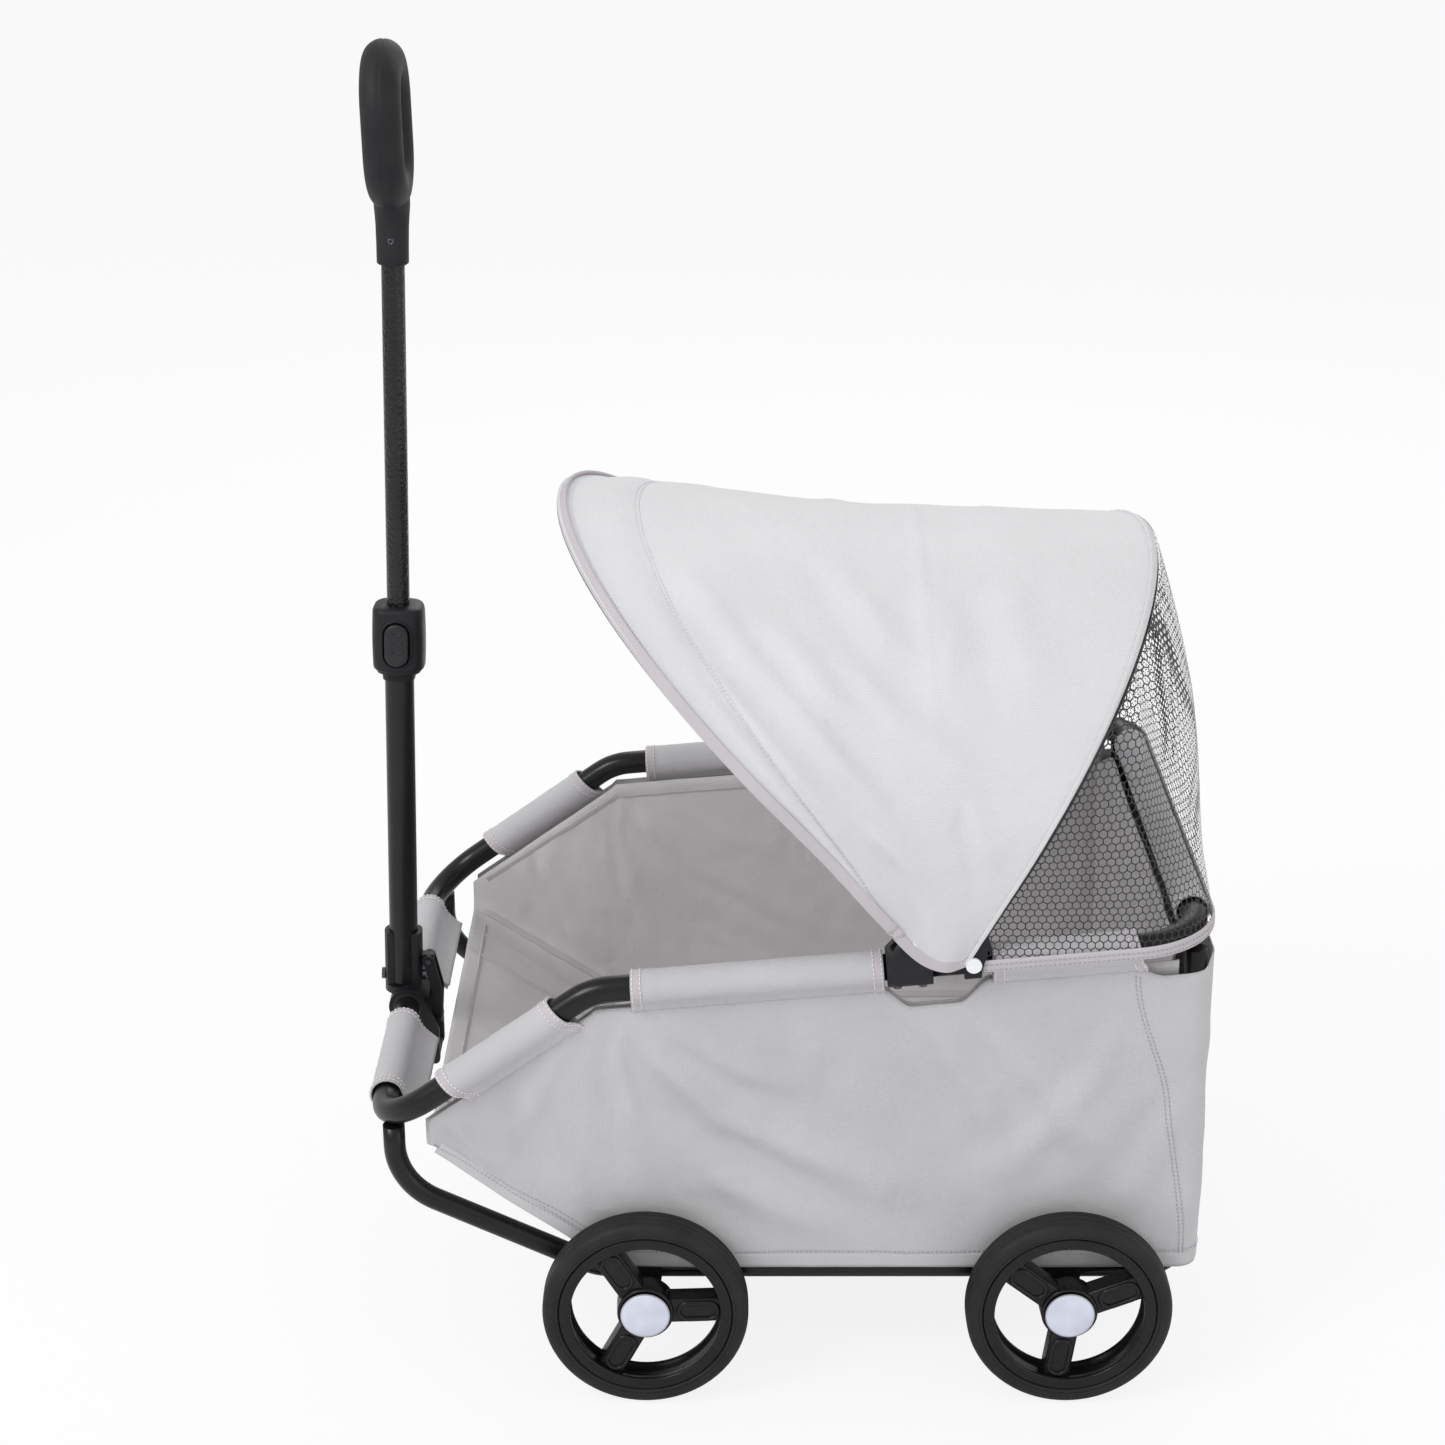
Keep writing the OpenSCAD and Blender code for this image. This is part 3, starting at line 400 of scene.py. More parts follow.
def arc(centre, radius, start, stop, steps):
    """Points on an arc in a profile, angles in degrees."""
    return [(centre[0] + radius * math.cos(math.radians(start + (stop - start) * k / steps)),
             centre[1] + radius * math.sin(math.radians(start + (stop - start) * k / steps)))
            for k in range(steps + 1)]


def bevelled(thing, width, segments=3):
    edge = thing.modifiers.new("edge", "BEVEL")
    edge.width = width
    edge.segments = segments
    edge.limit_method = "ANGLE"
    edge.angle_limit = math.radians(35)
    edge.harden_normals = False
    return thing


def joined(name, things):
    """The things' finished meshes as one mesh, with their materials kept."""
    whole = bmesh.new()
    materials = []
    for thing in things:
        view = bpy.context.evaluated_depsgraph_get()
        mesh = bpy.data.meshes.new_from_object(thing.evaluated_get(view))
        mesh.transform(thing.matrix_world)
        shift = []
        for material in mesh.materials:
            if material not in materials:
                materials.append(material)
            shift.append(materials.index(material))
        start = len(whole.faces)
        whole.from_mesh(mesh)
        whole.faces.ensure_lookup_table()
        for face in whole.faces[start:]:
            face.material_index = shift[face.material_index] if shift else 0
        bpy.data.meshes.remove(mesh)
    mesh = bpy.data.meshes.new(name)
    whole.to_mesh(mesh)
    whole.free()
    for material in materials:
        mesh.materials.append(material)
    for thing in things:
        bpy.data.objects.remove(thing)
    return placed(name, mesh)


def box_between(name, low, high, material):
    points = [Vector((x, y, z)) for x in (low[0], high[0]) for y in (low[1], high[1]) for z in (low[2], high[2])]
    faces = [(0, 1, 3, 2), (4, 6, 7, 5), (0, 4, 5, 1), (2, 3, 7, 6), (0, 2, 6, 4), (1, 5, 7, 3)]
    return add_mesh(name, points, faces, material, smooth=True)


def racetrack(length, width, steps=10):
    """Points round a flat oval, long way along x, in the xz plane."""
    r = width / 2
    half = length / 2 - r
    ring = [Vector((half + r * math.cos(a), 0, r * math.sin(a)))
            for a in [math.pi * (k / steps - 0.5) for k in range(steps + 1)]]
    ring += [Vector((-p.x, 0, -p.z)) for p in ring]
    return ring


def looped(name, ring, radius, material, sides=8):
    """A thin bead that follows a closed flat ring."""
    n = len(ring)
    axle = Vector((0, 1, 0))
    points = []
    for i, spot in enumerate(ring):
        way = (ring[(i + 1) % n] - ring[i - 1]).normalized()
        out = way.cross(axle).normalized()
        for k in range(sides):
            turn = 2 * math.pi * k / sides
            points.append(spot + radius * (out * math.cos(turn) + axle * math.sin(turn)))
    return add_mesh(name, points, ring_faces(n, sides, looped=True), material)


tyre_rubber = hard_finish("tyre_rubber", (0.012, 0.012, 0.013), 1800, (0.5, 0.64), 0.3,
                          worn=(0.02, 0.02, 0.021), shine=0.28)
wheel_plastic = hard_finish("wheel_plastic", (0.007, 0.007, 0.008), 1600, (0.2, 0.32), 0.1, shine=0.28)
cap_pale = hard_finish("cap_pale", (0.6, 0.62, 0.72), 500, (0.32, 0.4), 0.03)
cap_edge = hard_finish("cap_edge", (0.3, 0.3, 0.33), 500, (0.4, 0.5), 0.03)

TYRE_R = 75 * MM
BEAD_R = 63.3 * MM
HALF_TYRE = 13 * MM


def tyre_mesh(name):
    crown = arc((TYRE_R - 7 * MM, HALF_TYRE - 7 * MM), 7 * MM, 90, 8, 8)
    half = [(BEAD_R, HALF_TYRE - 2 * MM), (BEAD_R + 0.8 * MM, HALF_TYRE - 0.6 * MM),
            (BEAD_R + 2.2 * MM, HALF_TYRE - 0.1 * MM), (BEAD_R + 2.6 * MM, HALF_TYRE - 0.8 * MM),
            (BEAD_R + 3.2 * MM, HALF_TYRE - 0.1 * MM)] + crown
    half += [(TYRE_R, 4.2 * MM), (TYRE_R - 0.9 * MM, 3.6 * MM), (TYRE_R - 0.9 * MM, 2.6 * MM), (TYRE_R, 2.0 * MM)]
    profile = half + [(r, -w) for r, w in reversed(half)]
    return spun(name, profile, tyre_rubber, 120)


def wheel_mesh(name):
    out_r, lip_r, barrel_r, face = 63 * MM, 54.5 * MM, 57.5 * MM, 11 * MM
    half = [(out_r, 0), (out_r, face - 0.8 * MM)] + arc((out_r - 1.2 * MM, face - 0.2 * MM), 1.2 * MM, 0, 90, 3)
    half += arc((lip_r + 1.6 * MM, face - 0.6 * MM), 1.6 * MM, 90, 180, 4)
    half += [(lip_r, face - 4 * MM), (barrel_r, face - 4.6 * MM), (barrel_r - 1.5 * MM, 0)]
    profile = half + [(r, -w) for r, w in reversed(half) if w > 0]
    parts = [spun(name + "_rim", profile, wheel_plastic, 120)]
    bore_r, seat_r = 7.05 * MM, 18.2 * MM
    hub = [(bore_r, -face + 1 * MM), (19 * MM, -face + 1 * MM), (21 * MM, -face + 4 * MM), (20.5 * MM, face - 3 * MM)]
    hub += arc((18.9 * MM, face - 2.6 * MM), 1.6 * MM, 0, 90, 4)
    hub += [(seat_r, face - 1 * MM), (seat_r, face - 2.5 * MM), (bore_r, face - 2.5 * MM)]
    parts.append(spun(name + "_hub", hub, wheel_plastic, 72))
    spoke_w, spoke_face, spoke_back = 19.5 * MM, 7.6 * MM, -9 * MM
    for k in range(3):
        turn = Matrix.Rotation(-2 * math.pi * k / 3, 4, "Y")
        spoke = box_between(name + "_spoke", (15 * MM, spoke_back, -spoke_w / 2),
                            (58.5 * MM, spoke_face, spoke_w / 2), wheel_plastic)
        bevelled(spoke, 2.2 * MM, 4)
        rib = looped(name + "_rib", [p + Vector((38.5 * MM, spoke_face, 0)) for p in racetrack(29 * MM, 13.5 * MM)],
                     1.8 * MM, wheel_plastic)
        for piece in (spoke, rib):
            piece.data.transform(turn)
            parts.append(piece)
    return joined(name, parts)


def cap_mesh(name):
    dome, r = 60 * MM, 17.4 * MM
    rise = dome - math.sqrt(dome * dome - r * r)
    top = [(q, 1.6 * MM + math.sqrt(dome * dome - q * q) - dome + rise)
           for q in [r * k / 14 for k in range(14, -1, -1)]]
    body = spun(name + "_dome", [(0, 0), (r, 0), (r, 1.2 * MM)] + top, cap_pale, 72, close=False)
    edge = looped(name + "_edge", [Vector((r * math.cos(a), 0.9 * MM, r * math.sin(a)))
                                   for a in [2 * math.pi * k / 72 for k in range(72)]], 0.7 * MM, cap_edge)
    return joined(name, [body, edge])


REAR_TURN = math.radians(22)
for corner in ("front_left", "front_right", "rear_left", "rear_right"):
    low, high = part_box("wheel_" + corner)
    hub = (low + high) / 2
    outward = 1 if hub.y > 0 else -1
    facing = Matrix.Diagonal((1, outward, 1, 1))
    turned = Matrix.Rotation(-REAR_TURN if corner.startswith("rear") else math.radians(-2), 4, "Y")
    cap_y = outward * 11.1 * MM
    for kind, make, slot, shift in (
            ("tyre", tyre_mesh, "tyre_black", 0), ("wheel", wheel_mesh, "wheel_black", 0),
            ("cap", cap_mesh, "cap_white", cap_y)):
        piece = make(kind + "_" + corner + "_looks")
        piece.data.transform(Matrix.Translation(hub + Vector((0, shift, 0))) @ turned @ facing)
        if outward < 0:
            piece.data.flip_normals()
        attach(piece, "wheel_" + corner + "_body")
        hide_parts(kind + "_" + corner)


# ---------------------------------------------------------------- cloth: how every sheet is made
# Oxford polyester, a plain weave of thick yarns with a dull sheen. Each panel is a grid of points
# on its real surface, given folds and slow ripples, then a real thickness.
def number(tree, kind, a, b=0.0):
    """The result of a Math node; a and b are numbers or other nodes' sockets."""
    node = tree.nodes.new("ShaderNodeMath")
    node.operation = kind
    for socket, value in zip(node.inputs, (a, b)):
        if hasattr(value, "links"):
            tree.links.new(value, socket)
        else:
            socket.default_value = value
    return node.outputs[0]


def weave_group():
    """Over-and-under yarns: their height, and a painted shade that darkens the colour in the gaps between them."""
    group, into, out = shader_group("plain_weave", ("Yarns per metre",), ("Height", "Painted gap shade"))

    def of(kind, a, b=0.0):
        return number(group, kind, a, b)

    place = new_node(group, "ShaderNodeUVMap")
    split = new_node(group, "ShaderNodeSeparateXYZ")
    wire(group, (place, "UV", split, 0))
    across_yarns = of("MULTIPLY", split.outputs["X"], into.outputs[0])
    along_yarns = of("MULTIPLY", split.outputs["Y"], into.outputs[0])
    warp = of("ABSOLUTE", of("SINE", of("MULTIPLY", across_yarns, math.pi)))
    weft = of("ABSOLUTE", of("SINE", of("MULTIPLY", along_yarns, math.pi)))
    even = of("FLOORED_MODULO", of("ADD", of("FLOOR", across_yarns), of("FLOOR", along_yarns)), 2)
    over = of("MULTIPLY", warp, of("ADD", of("MULTIPLY", even, 0.5), 0.5))
    under = of("MULTIPLY", weft, of("SUBTRACT", 1, of("MULTIPLY", even, 0.5)))
    height = of("MAXIMUM", over, under)
    group.links.new(height, out.inputs["Height"])
    # Painted shade: the colour stays full on the raised yarns and is darkened in the gaps where they dip.
    group.links.new(of("ADD", of("MULTIPLY", height, 0.22), 0.8), out.inputs["Painted gap shade"])
    return group


PLAIN_WEAVE = weave_group()


def cloth_finish(name, color, yarns=900, bump=0.5, dark=0.9):
    """Woven cloth with slubs, a slow change of tone at random, painted shade in the gaps of the weave and soft creases
    too small to model.
    """
    material, tree, shader = new_finish(name, {
        "Sheen Weight": 0.12, "Sheen Roughness": 0.4, "Specular IOR Level": 0.25})
    weave = tree.nodes.new("ShaderNodeGroup")
    weave.node_tree = PLAIN_WEAVE
    weave.inputs["Yarns per metre"].default_value = yarns
    place = new_node(tree, "ShaderNodeTexCoord")
    slub = new_node(tree, "ShaderNodeTexNoise", {"Scale": 700, "Detail": 3})
    slow = new_node(tree, "ShaderNodeTexNoise", {"Scale": 9, "Detail": 5})
    crush = new_node(tree, "ShaderNodeTexNoise", {"Scale": 38, "Detail": 4, "Distortion": 1.2})
    ramp = two_tone(tree, 0.3, 0.7, [c * dark for c in color], color)
    # The weave's painted gap shade is multiplied into the base colour here.
    shade = tree.nodes.new("ShaderNodeMix")
    shade.data_type = "RGBA"
    shade.blend_type = "MULTIPLY"
    shade.inputs["Factor"].default_value = 0.7
    tree.links.new(ramp.outputs["Color"], shade.inputs["A"])
    tree.links.new(weave.outputs["Painted gap shade"], shade.inputs["B"])
    tree.links.new(shade.outputs["Result"], shader.inputs["Base Color"])
    rough = new_node(tree, "ShaderNodeMapRange", {"To Min": 0.72, "To Max": 0.95})
    wide = new_node(tree, "ShaderNodeBump", {"Strength": 0.35, "Distance": 0.003})
    fine = new_node(tree, "ShaderNodeBump", {"Strength": bump, "Distance": 0.0005})
    wire(tree, (place, "Object", slub, "Vector"), (place, "Object", slow, "Vector"),
         (place, "Object", crush, "Vector"), (slow, "Fac", ramp, "Fac"), (slub, "Fac", rough, "Value"),
         (rough, "Result", shader, "Roughness"), (crush, "Fac", wide, "Height"),
         (weave, "Height", fine, "Height"), (wide, "Normal", fine, "Normal"), (fine, "Normal", shader, "Normal"))
    return material


tub_grey = cloth_finish("tub_oxford", (0.605, 0.595, 0.61))
# The liner's cloth is made lighter than the tub's: painted light that stands in for fill light in the shaded inside of
# the tub.
liner_painted_fill_grey = cloth_finish("liner_oxford_painted_fill", (0.72, 0.7, 0.705))
canopy_grey = cloth_finish("canopy_oxford", (0.77, 0.77, 0.785), dark=0.94)
bias_tape = cloth_finish("bias_tape", (0.6, 0.565, 0.59), yarns=1400, bump=0.35)


def blend_in(x, low, high):
    """0 below low, 1 above high, with a soft step between."""
    t = min(1, max(0, (x - low) / (high - low)))
    return t * t * (3 - 2 * t)


def grid_of(shape, rows, cols):
    """Points shape(u, v) for u down the rows and v along the columns, both 0 to 1."""
    return [[Vector(shape(i / (rows - 1), j / (cols - 1))) for j in range(cols)] for i in range(rows)]


def across(grid, i, j):
    """The direction straight out of a grid of points at one of them."""
    rows, cols = len(grid), len(grid[0])
    down = grid[min(i + 1, rows - 1)][j] - grid[max(i - 1, 0)][j]
    along = grid[i][min(j + 1, cols - 1)] - grid[i][max(j - 1, 0)]
    out = down.cross(along)
    return out.normalized() if out.length > 1e-12 else Vector((0, 0, 1))


def rippled(grid, depth):
    """The grid with each point moved along its own normal by depth(point, i, j)."""
    return [[p + across(grid, i, j) * depth(p, i, j) for j, p in enumerate(row)] for i, row in enumerate(grid)]


def fold_at(x, z, route, width, depth):
    """A soft fold along a route in the xz plane, wider towards its end: a ridge with a shallow
    valley beside it."""
    total = sum(math.dist(a, b) for a, b in zip(route, route[1:]))
    best, off, share, run = 1e9, 0, 0, 0
    for a, b in zip(route, route[1:]):
        wx, wz = b[0] - a[0], b[1] - a[1]
        size = math.hypot(wx, wz)
        t = ((x - a[0]) * wx + (z - a[1]) * wz) / size ** 2
        held = min(1, max(0, t))
        gap = math.hypot(x - a[0] - wx * held, z - a[1] - wz * held)
        if gap < best:
            best, share = gap, (run + held * size) / total
            off = math.copysign(gap, (x - a[0]) * wz - (z - a[1]) * wx)
        run += size
    if best > 4 * width:
        return 0
    wide = width * (0.7 + 0.6 * share)
    fade = blend_in(share, -0.02, 0.22) * (1 - blend_in(share, 0.6, 1.02))
    return depth * fade * (math.exp(-(off / wide) ** 2) - 0.7 * math.exp(-((off - 1.7 * wide) / (1.2 * wide)) ** 2))


def sheet_mesh(name, grid, thickness, material):
    """A cloth sheet of that thickness over the grid, with its UVs in metres of cloth."""
    rows, cols = len(grid), len(grid[0])
    points, faces = [], []
    for layer in (0.5, -0.5):
        for i in range(rows):
            for j in range(cols):
                points.append(grid[i][j] + across(grid, i, j) * thickness * layer)
    size = rows * cols
    for i in range(rows - 1):
        for j in range(cols - 1):
            a, d = i * cols + j, (i + 1) * cols + j
            b, c = a + 1, d + 1
            faces.append((a, d, c, b))
            faces.append((size + a, size + b, size + c, size + d))
    rim = [(0, j, 0, j + 1) for j in range(cols - 1)] + [(rows - 1, j + 1, rows - 1, j) for j in range(cols - 1)]
    rim += [(i + 1, 0, i, 0) for i in range(rows - 1)] + [(i, cols - 1, i + 1, cols - 1) for i in range(rows - 1)]
    for i, j, k, m in rim:
        a, b = i * cols + j, k * cols + m
        faces.append((a, b, size + b, size + a))
    mesh = bpy.data.meshes.new(name)
    mesh.from_pydata([tuple(p) for p in points], [], faces)
    down, along = [0], [0]
    mid_row, mid_col = rows // 2, cols // 2
    for i in range(1, rows):
        down.append(down[-1] + (grid[i][mid_col] - grid[i - 1][mid_col]).length)
    for j in range(1, cols):
        along.append(along[-1] + (grid[mid_row][j] - grid[mid_row][j - 1]).length)
    layer = mesh.uv_layers.new(name="UVMap")
    for loop in mesh.loops:
        k = loop.vertex_index % size
        layer.data[loop.index].uv = (along[k % cols], down[k // cols])
    shape = bmesh.new()
    shape.from_mesh(mesh)
    bmesh.ops.recalc_face_normals(shape, faces=shape.faces)
    for face in shape.faces:
        face.smooth = True
    shape.to_mesh(mesh)
    shape.free()
    mesh.materials.append(material)
    return placed(name, mesh)


def area_of(grid):
    """Area of the surface through a grid of points."""
    total = 0
    for row, below in zip(grid, grid[1:]):
        for j in range(len(row) - 1):
            total += ((row[j + 1] - row[j]).cross(below[j] - row[j]).length
                      + (below[j] - below[j + 1]).cross(row[j + 1] - below[j + 1]).length) / 2
    return total


def line_on(grid, line, lift):
    """Points just above the surface along a line of (u, v) shares, both 0 to 1."""
    rows, cols = len(grid), len(grid[0])
    found = []
    for u, v in line:
        y, x = min(1, max(0, u)) * (rows - 1), min(1, max(0, v)) * (cols - 1)
        i, j = min(rows - 2, int(y)), min(cols - 2, int(x))
        top = grid[i][j].lerp(grid[i][j + 1], x - j)
        low = grid[i + 1][j].lerp(grid[i + 1][j + 1], x - j)
        found.append(top.lerp(low, y - i) + across(grid, i, j) * lift)
    return found


# Lockstitch seams: each stitch a short round-ended thread, laid along its seam at an even pitch
# and sunk a little into the cloth. One Geometry Nodes build serves every line of stitches.
def stitch_nodes():
    group = bpy.data.node_groups.new("stitch_line", "GeometryNodeTree")
    for label, direction, kind in (
            ("Seam", "INPUT", "NodeSocketGeometry"), ("Stitch", "INPUT", "NodeSocketObject"),
            ("Pitch", "INPUT", "NodeSocketFloat"), ("Thread", "INPUT", "NodeSocketMaterial"),
            ("Stitches", "OUTPUT", "NodeSocketGeometry")):
        group.interface.new_socket(label, in_out=direction, socket_type=kind)
    nodes, links = group.nodes, group.links
    into, out = nodes.new("NodeGroupInput"), nodes.new("NodeGroupOutput")
    curve = nodes.new("GeometryNodeMeshToCurve")
    spaced = nodes.new("GeometryNodeResampleCurve")
    spaced.mode = "LENGTH"
    way = nodes.new("GeometryNodeInputTangent")
    turn = nodes.new("FunctionNodeAlignRotationToVector")
    turn.axis = "X"
    stitch = nodes.new("GeometryNodeObjectInfo")
    place = nodes.new("GeometryNodeInstanceOnPoints")
    real = nodes.new("GeometryNodeRealizeInstances")
    paint = nodes.new("GeometryNodeSetMaterial")
    links.new(into.outputs["Seam"], curve.inputs["Mesh"])
    links.new(curve.outputs["Curve"], spaced.inputs["Curve"])
    links.new(into.outputs["Pitch"], spaced.inputs["Length"])
    links.new(spaced.outputs["Curve"], place.inputs["Points"])
    links.new(way.outputs["Tangent"], turn.inputs["Vector"])
    links.new(turn.outputs["Rotation"], place.inputs["Rotation"])
    links.new(into.outputs["Stitch"], stitch.inputs["Object"])
    links.new(stitch.outputs["Geometry"], place.inputs["Instance"])
    links.new(place.outputs["Instances"], real.inputs["Geometry"])
    links.new(real.outputs["Geometry"], paint.inputs["Geometry"])
    links.new(into.outputs["Thread"], paint.inputs["Material"])
    links.new(paint.outputs["Geometry"], out.inputs["Stitches"])
    return group


STITCH_LINE = stitch_nodes()
thread_white = hard_finish("thread_white", (0.82, 0.82, 0.83), 3000, (0.6, 0.7), 0.1)
thread_pale = hard_finish("thread_pale", (0.6, 0.6, 0.62), 3000, (0.6, 0.7), 0.1)
thread_grey = hard_finish("thread_grey", (0.33, 0.33, 0.35), 3000, (0.6, 0.7), 0.1)


def thread_bead():
    """One stitch: a round-ended length of thread."""
    mesh = bpy.data.meshes.new("stitch")
    shape = bmesh.new()
    bmesh.ops.create_uvsphere(shape, u_segments=6, v_segments=4, radius=1)
    for face in shape.faces:
        face.smooth = True
    bmesh.ops.transform(shape, verts=shape.verts, matrix=Matrix.Diagonal((1.35 * MM, 0.42 * MM, 0.36 * MM, 1)))
    shape.to_mesh(mesh)
    shape.free()
    return placed("stitch", mesh)


def stitched(name, lines, thread, pitch=3.4 * MM):
    """A mesh of stitches along each line of points."""
    bead = thread_bead()
    points, edges = [], []
    for line in lines:
        start = len(points)
        points += [tuple(p) for p in line]
        edges += [(start + k, start + k + 1) for k in range(len(line) - 1)]
    mesh = bpy.data.meshes.new(name + "_seam")
    mesh.from_pydata(points, edges, [])
    seam = placed(name + "_seam", mesh)
    build = seam.modifiers.new("stitches", "NODES")
    build.node_group = STITCH_LINE
    ids = {s.name: s.identifier for s in STITCH_LINE.interface.items_tree if s.in_out == "INPUT"}
    build[ids["Stitch"]] = bead
    build[ids["Pitch"]] = pitch
    build[ids["Thread"]] = thread
    view = bpy.context.evaluated_depsgraph_get()
    made = bpy.data.meshes.new_from_object(seam.evaluated_get(view))
    made.name = name
    bpy.data.objects.remove(seam)
    bpy.data.objects.remove(bead)
    return placed(name, made)


chassis_white, chassis_grey = [], []


# ---------------------------------------------------------------- tub skirt
# The outside of the tub: one band of oxford cloth from the nose along the side, round the rear
# corner, over the back and along the other side. It hangs from the rail sleeves and ends in a
# bound hem just under the floor; the slope in front follows the side frame's bend.
HEM_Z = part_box("tub_side_right")[0].z
SKIRT_Y = 214.6 * MM
REAR_X = 305.5 * MM


def plan_path(x0, half_w, x1, radius, steps=14):
    """A U in plan: along the right side, round two rear corners, back along the left side."""
    route = [Vector((x0, -half_w, 0))]
    for sign, start in ((-1, -90), (1, 0)):
        for k in range(steps + 1):
            a = math.radians(start + 90 * k / steps)
            route.append(Vector((x1 - radius + radius * math.cos(a),
                                 sign * (half_w - radius) + radius * math.sin(a), 0)))
    route.append(Vector((x0, half_w, 0)))
    return route


def along_path(route, share):
    """The point at a share of a route's length."""
    lengths = [0]
    for a, b in zip(route, route[1:]):
        lengths.append(lengths[-1] + (b - a).length)
    want = share * lengths[-1]
    for k in range(len(route) - 1):
        if lengths[k + 1] >= want - 1e-9:
            return route[k].lerp(route[k + 1], (want - lengths[k]) / max(1e-9, lengths[k + 1] - lengths[k]))
    return route[-1]


def top_height(x):
    """Height where the skirt leaves its sleeve, below the rail."""
    slope_z = FRONT_BAR.z + (x - FRONT_BAR.x) * (BEND_Z - FRONT_BAR.z) / (BEND_X - FRONT_BAR.x)
    flat_z = BEND_Z + RAIL_SLOPE * (x - BEND_X)
    under = 15 * MM
    if x < BEND_X:
        return min(slope_z - under * 1.2, flat_z - under)
    dip = blend_in(x, CLAMP_X - 22 * MM, CLAMP_X + 4 * MM) * (1 - blend_in(x, CLIP_X - 8 * MM, CLIP_X + 14 * MM))
    return flat_z - under - 17 * MM * dip


def nose_height(x):
    """Lower edge of the skirt in front of the floor, along the side frame's bend."""
    lower = [(-268, 208), (-240, 188), (-200, 155), (-152, 119), (-132, 101), (-114, 95.5), (-90, 95)]
    x /= MM
    if x >= lower[-1][0]:
        return HEM_Z
    for (xa, za), (xb, zb) in zip(lower, lower[1:]):
        if x <= xb:
            t = (x - xa) / (xb - xa)
            return max(HEM_Z, (za + (zb - za) * t) * MM)
    return HEM_Z


skirt_top = plan_path(-254 * MM, RAIL_Y + 0.3 * MM, 305 * MM, 20 * MM)
skirt_foot = plan_path(-254 * MM, SKIRT_Y, REAR_X, 16 * MM)


def skirt_shape(u, v):
    top = along_path(skirt_top, v)
    foot = along_path(skirt_foot, v)
    top.z = top_height(top.x)
    corner = blend_in(top.x, 244 * MM, 270 * MM) * (1 - blend_in(top.x, 298 * MM, 304 * MM))
    top.z -= 9 * MM * corner
    foot.z = nose_height(foot.x)
    if foot.z > HEM_Z + 60 * MM or foot.x < -150 * MM:
        foot.x = top.x
        foot.z = nose_height(foot.x)
    return top.lerp(foot, u)


SIDE_FOLDS = [([(-106, 312), (-86, 262), (-44, 222), (20, 188), (110, 140)], 12, 7.5),
              ([(-110, 312), (-116, 262), (-104, 200), (-84, 160)], 8, 4.5),
              ([(-98, 314), (-70, 282), (-30, 258), (30, 236)], 7, 4.5),
              ([(-60, 176), (0, 140), (70, 118)], 12, 4.5), ([(60, 326), (104, 290), (140, 240), (170, 180)], 12, 5.5),
              ([(128, 312), (168, 266), (232, 190), (262, 140)], 15, 6.0),
              ([(246, 312), (222, 250), (176, 190), (120, 150)], 12, 4.5),
              ([(-196, 262), (-172, 214), (-150, 160), (-120, 118)], 10, 4.5),
              ([(-240, 222), (-218, 190), (-180, 158)], 6, 3.6),
              ([(10, 326), (22, 280), (16, 236)], 10, 3.0), ([(286, 240), (262, 170), (226, 120)], 12, 4.0),
              ([(-150, 286), (-176, 240), (-190, 200)], 8, 3.0)]


def skirt_depth(p, i, j):
    inside = math.sin(math.pi * min(1, i / 44))
    x, z = p.x / MM, p.z / MM
    lift = 0
    if abs(p.y) > 190 * MM:
        for route, width, depth in SIDE_FOLDS:
            lift += fold_at(x, z, route, width, depth)
    lift += 3.0 * noise.noise(Vector((x / 75, p.y / MM / 75, z / 60)))
    lift += 1.6 * noise.noise(Vector((x / 30, p.y / MM / 30, z / 34)))
    lift += 0.5 * noise.noise(Vector((x / 11, p.y / MM / 11, z / 15)))
    gather = 1 - blend_in(i / 44, 0, 0.3)
    lift += 0.6 * gather * math.sin(x / 4.5 + 3 * noise.noise(Vector((x / 25, 0, 1))))
    return min(7, max(-2.2, 0.8 * lift + 0.8)) * MM * (0.25 + 0.75 * inside)


skirt_grid = rippled(grid_of(skirt_shape, 45, 420), skirt_depth)
skirt = sheet_mesh("tub_skirt", skirt_grid, 1.1 * MM, tub_grey)
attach(skirt, "chassis")
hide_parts("tub_side_left", "tub_side_right")


def taped(name, line, outs, width, thick, material, bulge=0.35):
    """Binding tape folded over an edge: a flat oval section that follows the line."""
    frames = []
    for i, spot in enumerate(line):
        way = (line[min(i + 1, len(line) - 1)] - line[max(i - 1, 0)]).normalized()
        out = (outs[i] - outs[i].dot(way) * way).normalized()
        frames.append((out, way.cross(out)))
    sides = 16
    points = []
    for spot, (out, over) in zip(line, frames):
        for k in range(sides):
            turn = 2 * math.pi * k / sides
            c, s = math.cos(turn), math.sin(turn)
            points.append(spot + out * math.copysign(abs(c) ** bulge, c) * thick / 2
                          + over * math.copysign(abs(s) ** bulge, s) * width / 2)
    thing = add_mesh(name, points, ring_faces(len(line), sides), material)
    layer = thing.data.uv_layers.new(name="UVMap")
    for loop in thing.data.loops:
        spot = thing.data.vertices[loop.vertex_index].co
        layer.data[loop.index].uv = (spot.x + spot.y, spot.z * 1.1 + spot.x * 0.2)
    return thing


def grid_line(grid, u, start=0.0, stop=1.0, count=400, lift=0.0):
    """A line along the rows of a grid, with the surface's outward directions."""
    line = [(u, start + (stop - start) * k / (count - 1)) for k in range(count)]
    spots = line_on(grid, line, lift)
    rows, cols = len(grid), len(grid[0])
    outs = [across(grid, min(rows - 1, round(a * (rows - 1))), min(cols - 1, round(b * (cols - 1)))) for a, b in line]
    return spots, outs


hem_line, hem_outs = grid_line(skirt_grid, 0.972, 0.004, 0.996, 600)
hem = taped("tub_hem", hem_line, hem_outs, 10 * MM, 2.4 * MM, tub_grey)
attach(hem, "chassis")
chassis_grey.append(grid_line(skirt_grid, 0.94, 0.004, 0.996, 900, 1.35 * MM)[0])


